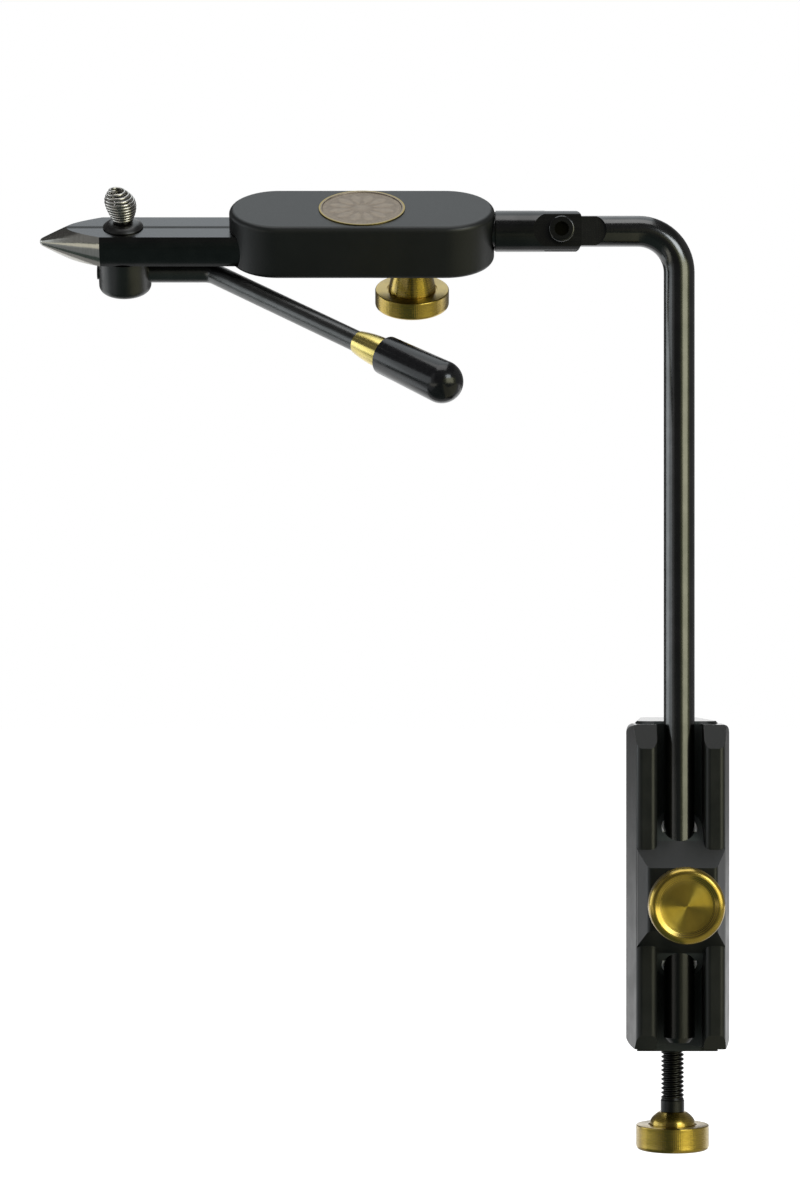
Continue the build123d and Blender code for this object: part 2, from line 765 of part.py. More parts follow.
def lever_rod():
    """The bent rod from the hub to the grip."""
    start = Vector(-lever_rod_inset, 0, rod_height)
    bend = lever_point(0)
    end = lever_point(lever_bare_length + ferrule_length + grip_bore_depth - seat_gap)
    path = FilletPolyline(start, bend, end, radius=lever_bend_radius)
    section = Plane(origin=start, z_dir=(1, 0, 0)) * Circle(rod_radius)
    return cam_frame * sweep(section, path=path)


def on_lever(distance, solid):
    """A solid that stands on Z=0, set on the lever with its +Z towards the grip's end."""
    return cam_frame * Plane(origin=lever_point(distance), z_dir=lever_direction()).location * solid


def lever_ferrule():
    """The brass ferrule that swells from the rod to the grip."""
    start = rod_radius + ferrule_start_wall
    end = ferrule_end_diameter / 2
    outline = SagittaArc((start, 0), (end, ferrule_length), -ferrule_bulge)
    outline += Polyline((end, ferrule_length), (rod_radius, ferrule_length), (rod_radius, 0), (start, 0))
    return on_lever(lever_bare_length, revolve(make_face(Plane.XZ * outline), Axis.Z))


def lever_grip():
    """The moulded grip: a slow taper with a round end, pushed over the rod."""
    start = grip_start_diameter / 2
    end = grip_end_diameter / 2
    round_start = grip_length - end
    outline = Line((start, 0), (end, round_start))
    outline += CenterArc((0, round_start), end, 0, 90)
    outline += Polyline((0, grip_length), (0, grip_bore_depth), (rod_radius, grip_bore_depth))
    outline += Polyline((rod_radius, grip_bore_depth), (rod_radius, 0), (start, 0))
    grip = revolve(make_face(Plane.XZ * outline), Axis.Z)
    return on_lever(lever_bare_length + ferrule_length, grip)


def spring_button():
    """The flared button under the material spring, on the spindle's stud."""
    outer = button_diameter / 2
    top = button_top_diameter / 2
    stud = stud_diameter / 2
    rim_top = button_bottom + button_rim_height
    outline = Polyline((stud, button_top), (stud, button_bottom), (outer, button_bottom), (outer, rim_top))
    outline += SagittaArc((outer, rim_top), (top, button_top), -button_flare_hollow)
    outline += Line((top, button_top), (stud, button_top))
    return cam_frame * revolve(make_face(Plane.XZ * outline), Axis.Z)


def material_spring():
    """The barrel-shaped coil that holds tying thread, leaning a little towards the jaws' tip."""
    full = spring_turns * half_turn * 2
    base = button_top + spring_wire / 2 + running_clearance
    waist = full * spring_waist_share

    def point_at(angle):
        if angle < waist:
            swell = math.sin(half_turn / 2 * angle / waist)
            radius = spring_base_radius + (spring_waist_radius - spring_base_radius) * swell
        else:
            swell = math.cos(half_turn / 2 * (angle - waist) / (full - waist))
            radius = spring_top_radius + (spring_waist_radius - spring_top_radius) * swell
        rise = spring_height * angle / full
        sideways = rise * rise / spring_height * math.tan(math.radians(spring_lean))
        return Vector(radius * math.cos(angle) - sideways, radius * math.sin(angle), base + rise)

    solid, gap = coil(point_at, spring_turns, spring_wire)
    print("material spring, least gap between turns", round(gap, 3))
    return cam_frame * solid


pieces = {
    "clamp_frame": clamp_frame(),
    "swivel_pad": swivel_pad(),
    "clamp_screw": clamp_screw(),
    "clamp_screw_knob": clamp_screw_knob(),
    "stem_lock_plug": stem_lock_plug(),
    "stem_lock_screw": stem_lock_screw(),
    "stem_lock_knob": stem_lock_knob(),
    "stem": stem(),
    "pivot_sleeve": pivot_sleeve(),
    "pivot_screw": pivot_screw(),
    "head_body": head_body(),
    "medallion": medallion(),
    "fulcrum_pins": fulcrum_pins(),
    "head_lock_plug": head_lock_plug(),
    "head_lock_screw": head_lock_screw(),
    "head_lock_knob": head_lock_knob(),
    "jaw_near": jaw(-1),
    "jaw_far": jaw(1),
    "jaw_spring": jaw_spring(),
    "cam_spindle": cam_spindle(),
    "hub_set_screw": hub_set_screw(),
    "lever_rod": lever_rod(),
    "lever_ferrule": lever_ferrule(),
    "lever_grip": lever_grip(),
    "spring_button": spring_button(),
    "material_spring": material_spring(),
}

os.makedirs("parts", exist_ok=True)
for name, solid in pieces.items():
    export_step(solid, f"parts/{name}.step")
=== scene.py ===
import json
import math

import bmesh
import bpy
from mathutils import Matrix, Vector


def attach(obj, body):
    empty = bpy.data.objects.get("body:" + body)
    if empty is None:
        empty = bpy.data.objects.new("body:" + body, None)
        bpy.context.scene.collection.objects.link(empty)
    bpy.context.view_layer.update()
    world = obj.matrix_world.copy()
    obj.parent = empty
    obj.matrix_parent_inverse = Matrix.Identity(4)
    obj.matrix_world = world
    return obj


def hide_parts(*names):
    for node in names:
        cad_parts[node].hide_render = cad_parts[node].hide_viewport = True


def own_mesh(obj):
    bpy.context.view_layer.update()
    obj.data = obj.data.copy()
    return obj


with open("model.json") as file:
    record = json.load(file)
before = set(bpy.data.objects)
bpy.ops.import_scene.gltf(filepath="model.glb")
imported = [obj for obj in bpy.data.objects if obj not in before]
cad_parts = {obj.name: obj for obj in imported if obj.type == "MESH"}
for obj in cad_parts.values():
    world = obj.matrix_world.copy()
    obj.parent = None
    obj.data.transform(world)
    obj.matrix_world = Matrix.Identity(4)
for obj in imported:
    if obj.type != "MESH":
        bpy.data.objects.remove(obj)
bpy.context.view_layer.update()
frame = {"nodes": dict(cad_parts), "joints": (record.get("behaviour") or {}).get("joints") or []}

nodes = frame["nodes"]
joints = {joint["name"]: joint for joint in frame["joints"]}

MM = 0.001
TURN = 2 * math.pi
QUARTER = math.pi / 2
UP = Vector((0.0, 0.0, 1.0))

# Places in the CAD model, in millimetres

BAR_DROP = 3.5
LEVER_BEND_REACH = 26.8
LEVER_BEND_DROP = 10.27
LEVER_AIM = Vector((0.7244, -0.6874, -0.0523))
LEVER_BARE_LENGTH = 63.5
FERRULE_LENGTH = 11.1
BRIDGE_FRONT = 42.6
BRIDGE_DROP = 38.8
BRIDGE_HALF = 17.2
CHANNEL_HALF = 7.15
MEDALLION_REACH = 97.6
SHOULDER_REACH = 56.83
JAW_SPRING_REACH = 103.85
NOSE_REACH = 177.95


# Frames of the CAD model

def shifted(x, y, z):
    """A shift in millimetres."""
    return Matrix.Translation(Vector((x, y, z)) * MM)


def pivot(name):
    """The place of a joint's axis."""
    return Vector(joints[name]["pos_m"])


ROW = Matrix.Identity(4)
roll_axis = pivot("head_roll")
stem_lock_axis = pivot("stem_lock_turn")
HEAD_UP = Vector(joints["lever_turn"]["axis"])
HEAD_TILT = Matrix.Rotation(math.atan2(-HEAD_UP.y, HEAD_UP.z), 4, "X")
HEAD = Matrix.Translation((0.0, roll_axis.y, roll_axis.z)) @ HEAD_TILT
HEAD_LOCK = Matrix.Translation(pivot("head_lock_turn")) @ HEAD_TILT
MEDALLION = HEAD @ shifted(-MEDALLION_REACH, 0.0, 0.0)
JAW_SPRING = HEAD @ shifted(-JAW_SPRING_REACH, 0.0, -BAR_DROP)
CAM = HEAD @ Matrix.Translation((pivot("lever_turn").x, 0.0, -BAR_DROP * MM))
LEVER = CAM @ shifted(LEVER_BEND_REACH, 0.0, -LEVER_BEND_DROP)
LEVER = LEVER @ LEVER_AIM.to_track_quat("Z", "Y").to_matrix().to_4x4()
FERRULE = LEVER @ shifted(0.0, 0.0, LEVER_BARE_LENGTH)
GRIP = FERRULE @ shifted(0.0, 0.0, FERRULE_LENGTH)
PIVOT = Matrix.Translation(pivot("knuckle_tilt")) @ Matrix.Rotation(QUARTER, 4, "X")
SHOULDER = Matrix.Translation((-SHOULDER_REACH * MM, roll_axis.y, roll_axis.z))
SHOULDER = SHOULDER @ Matrix.Rotation(QUARTER, 4, "Y")
STEM_LOCK = Matrix.Translation((stem_lock_axis.x, -BRIDGE_FRONT * MM, stem_lock_axis.z))
STEM_LOCK = STEM_LOCK @ Matrix.Rotation(-QUARTER, 4, "X")


# Node helpers

NOISE_LOW, NOISE_HIGH = 0.3, 0.7
MIX_SOCKETS = {"FLOAT": (2, 3, 0), "RGBA": (6, 7, 2)}


def opaque(color):
    """A colour for a socket, with its alpha, or the socket that makes it."""
    return color if isinstance(color, bpy.types.NodeSocket) else (*color, 1.0)


class Paint:
    """A node material that is put together step by step."""

    def __init__(self, name, color, metallic, roughness):
        self.material = bpy.data.materials.new(name)
        self.material.use_nodes = True
        self.tree = self.material.node_tree
        self.shader = self.tree.nodes["Principled BSDF"]
        self.set("Base Color", opaque(color))
        self.set("Metallic", metallic)
        self.set("Roughness", roughness)
        self.place = self.node("ShaderNodeTexCoord").outputs["Object"]

    def node(self, kind, **settings):
        made = self.tree.nodes.new(kind)
        for key, value in settings.items():
            setattr(made, key, value)
        return made

    def link(self, source, target):
        self.tree.links.new(source, target)

    def put(self, socket, value):
        """Links a socket to another, or sets it to a constant."""
        if isinstance(value, bpy.types.NodeSocket):
            self.link(value, socket)
        else:
            socket.default_value = value

    def set(self, name, value):
        self.put(self.shader.inputs[name], value)

    def math(self, operation, a, b=0.0):
        made = self.node("ShaderNodeMath", operation=operation)
        self.put(made.inputs[0], a)
        self.put(made.inputs[1], b)
        return made.outputs[0]

    def moved(self, matrix):
        """The place in another frame, given as a matrix from that frame to the row's."""
        back = matrix.inverted()
        made = self.node("ShaderNodeMapping", vector_type="POINT")
        made.inputs["Location"].default_value = back.to_translation()
        made.inputs["Rotation"].default_value = back.to_euler()
        self.link(self.place, made.inputs["Vector"])
        return made.outputs[0]

    def split(self, vector):
        made = self.node("ShaderNodeSeparateXYZ")
        self.link(vector, made.inputs[0])
        return made.outputs

    def stretched(self, vector, scale):
        made = self.node("ShaderNodeMapping", vector_type="POINT")
        made.inputs["Scale"].default_value = scale
        self.link(vector, made.inputs["Vector"])
        return made.outputs[0]

    def noise(self, vector, scale, detail=4.0, rough=0.55):
        made = self.node("ShaderNodeTexNoise")
        made.inputs["Scale"].default_value = scale
        made.inputs["Detail"].default_value = detail
        made.inputs["Roughness"].default_value = rough
        self.link(vector, made.inputs["Vector"])
        return made.outputs["Fac"]

    def spread(self, value, low, high, start=NOISE_LOW, end=NOISE_HIGH):
        """A value from start to end, spread over low to high."""
        made = self.node("ShaderNodeMapRange")
        made.inputs["From Min"].default_value = start
        made.inputs["From Max"].default_value = end
        made.inputs["To Min"].default_value = low
        made.inputs["To Max"].default_value = high
        self.link(value, made.inputs["Value"])
        return made.outputs[0]

    def ramp(self, value, low, high, start=NOISE_LOW, end=NOISE_HIGH):
        """A colour from low to high as the value goes from start to end."""
        made = self.node("ShaderNodeValToRGB")
        for point, position, color in zip(made.color_ramp.elements, (start, end), (low, high)):
            point.position = position
            point.color = opaque(color)
        self.link(value, made.inputs[0])
        return made.outputs[0]

    def mix(self, kind, factor, a, b):
        made = self.node("ShaderNodeMix", data_type=kind)
        first, second, result = MIX_SOCKETS[kind]
        self.put(made.inputs[0], factor)
        self.put(made.inputs[first], a)
        self.put(made.inputs[second], b)
        return made.outputs[result]

    def mixed(self, factor, a, b):
        """A colour: a where the factor is 0, b where it is 1."""
        return self.mix("RGBA", factor, opaque(a), opaque(b))

    def blended(self, factor, a, b):
        """A number: a where the factor is 0, b where it is 1."""
        return self.mix("FLOAT", factor, a, b)

    def bump(self, height, depth, strength, before=None):
        """The normal with a height's relief on it, and on an earlier bump's."""
        made = self.node("ShaderNodeBump")
        made.inputs["Strength"].default_value = strength
        made.inputs["Distance"].default_value = depth
        self.link(height, made.inputs["Height"])
        if before is not None:
            self.link(before, made.inputs["Normal"])
        return made.outputs[0]

    def facing(self, direction):
        """How far the surface faces a direction: 1 straight at it."""
        made = self.node("ShaderNodeVectorMath", operation="DOT_PRODUCT")
        self.link(self.node("ShaderNodeTexCoord").outputs["Normal"], made.inputs[0])
        made.inputs[1].default_value = direction
        return made.outputs["Value"]

    def distance(self, vector):
        """Distance from the local Z axis."""
        x, y, _ = self.split(vector)
        squares = self.math("ADD", self.math("MULTIPLY", x, x), self.math("MULTIPLY", y, y))
        return self.math("SQRT", squares)


# Materials

MARK_DEPTH = 0.02 * MM
DRAWN_STRETCH = {"X": (0.03, 1.0, 1.0), "Z": (1.0, 1.0, 0.03)}
DRAWN_SCALE, DRAWN_DETAIL = 2600.0, 5.0


def black_steel(name, matrix, along, level, roughness, hollow=None, shaded_dull_below=None):
    """Black oxide on drawn bar, with fine lines along it.

    A socket's frame and radius in hollow give painted shade inside the socket; below the height in the last
    argument, a bar's foot gets painted shade and a duller finish.
    """
    dark_shares, pale_share, cloud_scale = (0.88, 0.89, 0.88), 1.14, 170.0
    rough_low_share, rough_high_share, line_strength = 0.88, 1.12, 0.025
    # Painted shade colour for the inside of the socket.
    socket_painted_shade = (0.022, 0.021, 0.014)
    # Painted shade on the bar's foot, darker towards the bottom, with a duller roughness there.
    shaded_dull_fade, painted_shade_share, dull_rough_share = 12.0 * MM, 0.5, 1.4
    paint = Paint(name, [level] * 3, 1.0, roughness)
    place = paint.moved(matrix)
    lines = paint.noise(paint.stretched(place, DRAWN_STRETCH[along]), DRAWN_SCALE, DRAWN_DETAIL)
    cloud = paint.noise(place, cloud_scale)
    color = paint.ramp(cloud, [level * share for share in dark_shares], [level * pale_share] * 3)
    rough = paint.spread(lines, roughness * rough_low_share, roughness * rough_high_share)
    # Paints shade inside the socket.
    if hollow:
        socket_frame, socket_radius = hollow
        inside = paint.math("LESS_THAN", paint.distance(paint.moved(socket_frame)), socket_radius)
        color = paint.mixed(inside, color, socket_painted_shade)
    # Paints shade on the bar's foot and makes it duller there.
    if shaded_dull_below is not None:
        shade_and_dull = paint.spread(paint.split(place)[2], 1.0, 0.0, shaded_dull_below - shaded_dull_fade, shaded_dull_below)
        color = paint.mixed(shade_and_dull, color, [level * painted_shade_share] * 3)
        rough = paint.blended(shade_and_dull, rough, roughness * dull_rough_share)
    paint.set("Base Color", color)
    paint.set("Roughness", rough)
    paint.set("Normal", paint.bump(lines, MARK_DEPTH, line_strength))
    return paint.material


def satin_black():
    """Satin black anodising with a fine blasted grain."""
    dark, pale = (0.0026, 0.0034, 0.0036), (0.0046, 0.0056, 0.0058)
    grain_scale, grain_detail, cloud_scale = 5200.0, 3.0, 95.0
    smooth, rough = 0.40, 0.50
    grain_depth, grain_strength = 0.012 * MM, 0.5
    paint = Paint("satin_black", pale, 0.0, smooth)
    grain = paint.noise(paint.place, grain_scale, grain_detail)
    cloud = paint.noise(paint.place, cloud_scale)
    paint.set("Base Color", paint.ramp(cloud, dark, pale))
    paint.set("Roughness", paint.spread(grain, smooth, rough))
    paint.set("Normal", paint.bump(grain, grain_depth, grain_strength))
    return paint.material


def cast_black():
    """Semi-gloss black coating over a machined casting: dull in the channel, with painted light that makes
    the channel paler, smooth on level flats.
    """
    dark, pale = (0.0060, 0.0070, 0.0068), (0.0095, 0.0105, 0.0098)
    # The channel's colour is painted light, paler than the rest of the casting.
    channel_painted_light, channel_rough = (0.030, 0.036, 0.034), 0.75
    smooth, rough, specular = 0.28, 0.38, 0.4
    level_rough, level_facing = 0.10, 0.98
    skin_scale, skin_detail, skin_depth = 900.0, 5.0, 0.03 * MM
    swell_scale, swell_depth, bump_strength = 130.0, 0.08 * MM, 0.2
    paint = Paint("cast_black", pale, 0.0, smooth)
    paint.set("Specular IOR Level", specular)
    skin = paint.noise(paint.place, skin_scale, skin_detail)
    swell = paint.noise(paint.place, swell_scale)
    x, _, z = paint.split(paint.place)
    from_bridge = paint.math("ABSOLUTE", paint.math("SUBTRACT", z, -BRIDGE_DROP * MM))
    between_walls = paint.math("LESS_THAN", paint.math("ABSOLUTE", x), CHANNEL_HALF * MM)
    beyond_bridge = paint.math("GREATER_THAN", from_bridge, BRIDGE_HALF * MM)
    channel = paint.math("MULTIPLY", between_walls, beyond_bridge)
    level = paint.math("GREATER_THAN", paint.facing(UP), level_facing)
    # Painted light in the channel.
    paint.set("Base Color", paint.mixed(channel, paint.ramp(swell, dark, pale), channel_painted_light))
    skin_rough = paint.blended(channel, paint.spread(swell, smooth, rough), channel_rough)
    paint.set("Roughness", paint.blended(level, skin_rough, level_rough))
    wave = paint.bump(swell, swell_depth, bump_strength)
    paint.set("Normal", paint.bump(skin, skin_depth, bump_strength, wave))
    return paint.material


def jaw_steel():
    """Black oxide on the bar and its flats, painted shade along the split between the two jaws, and a bare
    ground nose.
    """
    dark_low, dark_high, flat_color = (0.055, 0.057, 0.058), (0.075, 0.076, 0.077), (0.088, 0.089, 0.092)
    # The last colour here is painted shade for the split between the jaws.
    bare_low, bare_high, split_painted_shade = (0.34, 0.33, 0.30), (0.42, 0.41, 0.38), (0.010, 0.010, 0.010)
    split_shade_half, flat_facing = 1.0 * MM, 0.985
    ground_stretch, ground_scale, ground_detail = (1.0, 0.05, 0.05), 5200.0, 4.0
    cloud_scale, line_strength = 210.0, 0.06
    oxide_rough, ground_rough = (0.20, 0.26), (0.13, 0.17)
    paint = Paint("jaw_steel", dark_high, 1.0, oxide_rough[0])
    x, _, _ = paint.split(paint.place)
    nose = paint.math("LESS_THAN", x, -NOSE_REACH * MM)
    flat = paint.math("GREATER_THAN", paint.math("ABSOLUTE", paint.facing(HEAD_UP)), flat_facing)
    bare = paint.math("MULTIPLY", nose, paint.math("SUBTRACT", 1.0, flat))
    ground = paint.noise(paint.stretched(paint.place, ground_stretch), ground_scale, ground_detail)
    drawn = paint.noise(paint.stretched(paint.place, DRAWN_STRETCH["X"]), DRAWN_SCALE, DRAWN_DETAIL)
    oxide = paint.ramp(paint.noise(paint.place, cloud_scale), dark_low, dark_high)
    oxide = paint.mixed(flat, oxide, flat_color)
    # Painted shade along the split between the jaws.
    from_split = paint.math("ABSOLUTE", paint.split(paint.moved(HEAD))[1])
    oxide = paint.mixed(paint.math("LESS_THAN", from_split, split_shade_half), oxide, split_painted_shade)
    paint.set("Base Color", paint.mixed(bare, oxide, paint.ramp(ground, bare_low, bare_high)))
    rough = paint.blended(bare, paint.spread(drawn, *oxide_rough), paint.spread(ground, *ground_rough))
    paint.set("Roughness", rough)
    paint.set("Normal", paint.bump(paint.blended(bare, drawn, ground), MARK_DEPTH, line_strength))
    return paint.material


def plain_steel(name, color, roughness, metallic=1.0):
    """Bare steel with a fine drawn grain."""
    low_share, high_share, rough_low_share, rough_high_share = 0.8, 1.12, 0.8, 1.3
    grain_scale, grain_depth, grain_strength = 2400.0, 0.01 * MM, 0.4
    paint = Paint(name, color, metallic, roughness)
    grain = paint.noise(paint.place, grain_scale)
    low = [value * low_share for value in color]
    high = [min(value * high_share, 1.0) for value in color]
    paint.set("Base Color", paint.ramp(grain, low, high))
    rough = paint.spread(grain, roughness * rough_low_share, roughness * rough_high_share)
    paint.set("Roughness", rough)
    paint.set("Normal", paint.bump(grain, grain_depth, grain_strength))
    return paint.material


def turned_brass(name, color):
    """Turned and lacquered brass: fine rings round its own Z axis, with a little tarnish."""
    low_share, high_share, tarnish_scale, tarnish_low, tarnish_high = 0.88, 1.12, 240.0, 0.25, 0.75
    line_scale, line_detail, line_strength = 7000.0, 3.0, 0.02
    flat_facing, upright_facing = 0.99, 0.3
    curved_rough, flat_rough = (0.24, 0.30), (0.28, 0.38)
    curved_streak, plain_streak, streak_turn = 0.6, 0.95, 0.25
    coat, coat_ior, coat_rough = 0.6, 1.6, 0.2
    paint = Paint(name, color, 1.0, curved_rough[1])
    rings = paint.node("ShaderNodeCombineXYZ")
    paint.link(paint.distance(paint.place), rings.inputs[0])
    paint.link(paint.split(paint.place)[2], rings.inputs[1])
    lines = paint.noise(rings.outputs[0], line_scale, line_detail)
    tarnish = paint.noise(paint.place, tarnish_scale)
    low, high = ([value * share for value in color] for share in (low_share, high_share))
    paint.set("Base Color", paint.ramp(tarnish, low, high, tarnish_low, tarnish_high))
    level = paint.math("ABSOLUTE", paint.facing(UP))
    flat = paint.math("GREATER_THAN", level, flat_facing)
    plain = paint.math("ADD", flat, paint.math("LESS_THAN", level, upright_facing))
    rough = paint.blended(flat, paint.spread(lines, *curved_rough), paint.spread(lines, *flat_rough))
    paint.set("Roughness", rough)
    paint.set("Normal", paint.bump(paint.math("MULTIPLY", lines, flat), MARK_DEPTH, line_strength))
    paint.set("Coat Weight", coat)
    paint.set("Coat IOR", coat_ior)
    paint.set("Coat Roughness", coat_rough)
    paint.set("Tangent", paint.node("ShaderNodeTangent", direction_type="RADIAL", axis="Z").outputs[0])
    paint.set("Anisotropic", paint.blended(plain, curved_streak, plain_streak))
    paint.set("Anisotropic Rotation", streak_turn)
    return paint.material


def glossy_vinyl():
    """Dip-moulded black vinyl, very glossy and a little wavy."""
    dark, pale = (0.003, 0.003, 0.004), (0.006, 0.006, 0.007)
    wave_scale, wave_detail, cloud_scale = 160.0, 2.0, 600.0
    smooth, rough = 0.17, 0.22
    wave_depth, wave_strength = 0.05 * MM, 0.15
    paint = Paint("glossy_vinyl", pale, 0.0, smooth)
    wave = paint.noise(paint.place, wave_scale, wave_detail)
    cloud = paint.noise(paint.place, cloud_scale)
    paint.set("Base Color", paint.ramp(cloud, dark, pale))
    paint.set("Roughness", paint.spread(cloud, smooth, rough))
    paint.set("Normal", paint.bump(wave, wave_depth, wave_strength))
    return paint.material


def plug_plastic():
    """Plain off-white friction plug."""
    dark, pale = (0.70, 0.68, 0.61), (0.78, 0.76, 0.70)
    smooth, rough, grain_scale = 0.42, 0.58, 1500.0
    paint = Paint("plug_plastic", pale, 0.0, smooth)
    grain = paint.noise(paint.place, grain_scale)
    paint.set("Base Color", paint.ramp(grain, dark, pale))
    paint.set("Roughness", paint.spread(grain, smooth, rough))
    return paint.material


def aged_bronze():
    """Aged bronze: dark in the hollows, paler on the relief, with a thin golden rim."""
    dark, pale, worn_low, worn_high = (0.15, 0.115, 0.085), (0.36, 0.30, 0.235), 0.25, 0.75
    gilt_color, gilt_rough, gilt_start = (0.30, 0.225, 0.07), 0.3, 12.75 * MM
    relief_foot, relief_top = 7.70 * MM, 7.78 * MM
    wear_scale, wear_detail, wear_rough, wear_share, height_share = 520.0, 6.0, 0.65, 0.85, 0.12
    fine_scale, fine_detail, fine_depth, fine_strength = 1900.0, 3.0, 0.03 * MM, 0.5
    smooth, rough = 0.38, 0.56
    paint = Paint("aged_bronze", pale, 1.0, smooth)
    rim = paint.math("GREATER_THAN", paint.distance(paint.place), gilt_start)
    height = paint.spread(paint.split(paint.place)[2], 0.0, 1.0, relief_foot, relief_top)
    wear = paint.noise(paint.place, wear_scale, wear_detail, wear_rough)
    fine = paint.noise(paint.place, fine_scale, fine_detail)
    worn = paint.math("ADD", paint.math("MULTIPLY", wear, wear_share),
                      paint.math("MULTIPLY", height, height_share))
    tone = paint.ramp(worn, dark, pale, worn_low, worn_high)
    paint.set("Base Color", paint.mixed(rim, tone, gilt_color))
    paint.set("Roughness", paint.blended(rim, paint.spread(wear, smooth, rough), gilt_rough))
    paint.set("Normal", paint.bump(fine, fine_depth, fine_strength))
    return paint.material


# Mesh helpers

SHARP_EDGE = math.radians(32)
WIRE_SHARP_EDGE = math.radians(60)
WIRE_SIDES = 14


def mesh_object(name, points, faces, material, sharp=SHARP_EDGE):
    """A smooth-shaded mesh with one material, its faces turned outwards."""
    mesh = bpy.data.meshes.new(name)
    mesh.from_pydata([tuple(point) for point in points], [], faces)
    shape = bmesh.new()
    shape.from_mesh(mesh)
    bmesh.ops.recalc_face_normals(shape, faces=shape.faces)
    shape.to_mesh(mesh)
    shape.free()
    mesh.polygons.foreach_set("use_smooth", [True] * len(mesh.polygons))
    mesh.set_sharp_from_angle(angle=sharp)
    mesh.update()
    made = bpy.data.objects.new(name, mesh)
    bpy.context.scene.collection.objects.link(made)
    made.data.materials.append(material)
    return made


def ring_faces(rings, closed=True):
    """Faces between rings of points; a ring of one point is a pole."""
    faces = []
    for a, b in zip(rings, rings[1:]):
        count = max(len(a), len(b))
        for c in range(count if closed else count - 1):
            n = (c + 1) % count
            if len(a) == 1:
                faces.append((a[0], b[n], b[c]))
            elif len(b) == 1:
                faces.append((a[c], a[n], b[0]))
            else:
                faces.append((a[c], a[n], b[n], b[c]))
    return faces


def lathe(name, profile, matrix, material, columns, relief=None):
    """A turned piece from (radius, height) points in mm on a frame's Z; relief shifts its points."""
    points, rings = [], []
    for radius, height in profile:
        count = columns if radius else 1
        rings.append(range(len(points), len(points) + count))
        for c in range(count):
            angle = TURN * c / columns
            out, up = relief(radius, height, angle) if relief and radius else (0.0, 0.0)
            reach = radius + out
            spot = Vector((reach * math.cos(angle), reach * math.sin(angle), height + up))
            points.append(spot * MM)
    made = mesh_object(name, points, ring_faces(rings), material)
    made.matrix_world = matrix
    return made


def evenly(start, end, step):
    """Values from start to end in equal steps near the given one."""
    count = max(round(abs(end - start) / step), 1)
    return [start + (end - start) * n / count for n in range(count + 1)]


def arc(middle, radius, start, end, steps):
    """Points on an arc in the (radius, height) plane, angles in degrees."""
    out = []
    for n in range(steps + 1):
        angle = math.radians(start + (end - start) * n / steps)
        out.append((middle[0] + radius * math.cos(angle), middle[1] + radius * math.sin(angle)))
    return out


def tube(name, path, radius, material, sides=WIRE_SIDES):
    """A round wire along a list of points."""
    points, rings = [], []
    normal = None
    for n, spot in enumerate(path):
        tangent = (path[min(n + 1, len(path) - 1)] - path[max(n - 1, 0)]).normalized()
        if normal is None:
            normal = tangent.orthogonal().normalized()
        normal = (normal - tangent * normal.dot(tangent)).normalized()
        side = tangent.cross(normal)
        rings.append(range(len(points), len(points) + sides))
        for s in range(sides):
            angle = TURN * s / sides
            points.append(spot + normal * (radius * math.cos(angle)) + side * (radius * math.sin(angle)))
    faces = ring_faces(rings)
    faces.append(tuple(reversed(rings[0])))
    faces.append(tuple(rings[-1]))
    return mesh_object(name, points, faces, material, WIRE_SHARP_EDGE)


def dress(piece, body, slot, *replaced):
    """Puts a piece on its body and lets it stand for its CAD nodes; the slot is not used."""
    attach(piece, body)
    if replaced:
        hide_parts(*replaced)
    return piece


# Materials on the CAD pieces

# Height below which the stem's foot gets painted shade and a duller finish.
STEM_SHADED_DULL_BELOW = -40.0 * MM
PIVOT_SOCKET_RADIUS = 2.2 * MM

steel_up = black_steel("black_steel_upright", ROW, "Z", 0.095, 0.19, shaded_dull_below=STEM_SHADED_DULL_BELOW)
steel_along = black_steel("black_steel_along", ROW, "X", 0.065, 0.20)
steel_screw = black_steel("black_steel_screw", ROW, "Z", 0.036, 0.34)
steel_socket = black_steel("black_steel_socket", ROW, "X", 0.065, 0.20, (PIVOT, PIVOT_SOCKET_RADIUS))
steel_hub = black_steel("black_steel_hub", CAM, "Z", 0.08, 0.33)
steel_lever = black_steel("black_steel_lever", LEVER, "Z", 0.11, 0.30)
bare_steel = plain_steel("bare_steel", (0.52, 0.51, 0.49), 0.28)
coil_steel = plain_steel("coil_steel", (0.50, 0.48, 0.45), 0.24)
# Near-white steel for the bore's rubbed edges: bare metal, whitened as a painted glint.
rubbed_steel_painted_glint = plain_steel("rubbed_steel_painted_glint", (0.92, 0.92, 0.90), 0.45, 0.35)
jaw = jaw_steel()
looks = {
    "clamp_frame": cast_black(),
    "swivel_pad": bare_steel,
    "stem": steel_up,
    "pivot_sleeve": steel_along,
    "pivot_screw": steel_socket,
    "head_body": satin_black(),
    "jaw_near": jaw,
    "jaw_far": jaw,
    "cam_spindle": steel_hub,
    "hub_set_screw": steel_hub,
    "spring_button": steel_hub,
    "lever_rod": steel_lever,
    "fulcrum_pins": bare_steel,
    "stem_lock_plug": plug_plastic(),
    "head_lock_plug": plug_plastic(),
}
for name, material in looks.items():
    data = nodes[name].data
    data.materials.clear()
    data.materials.append(material)


# Turned brass knobs with knurled rims, in millimetres

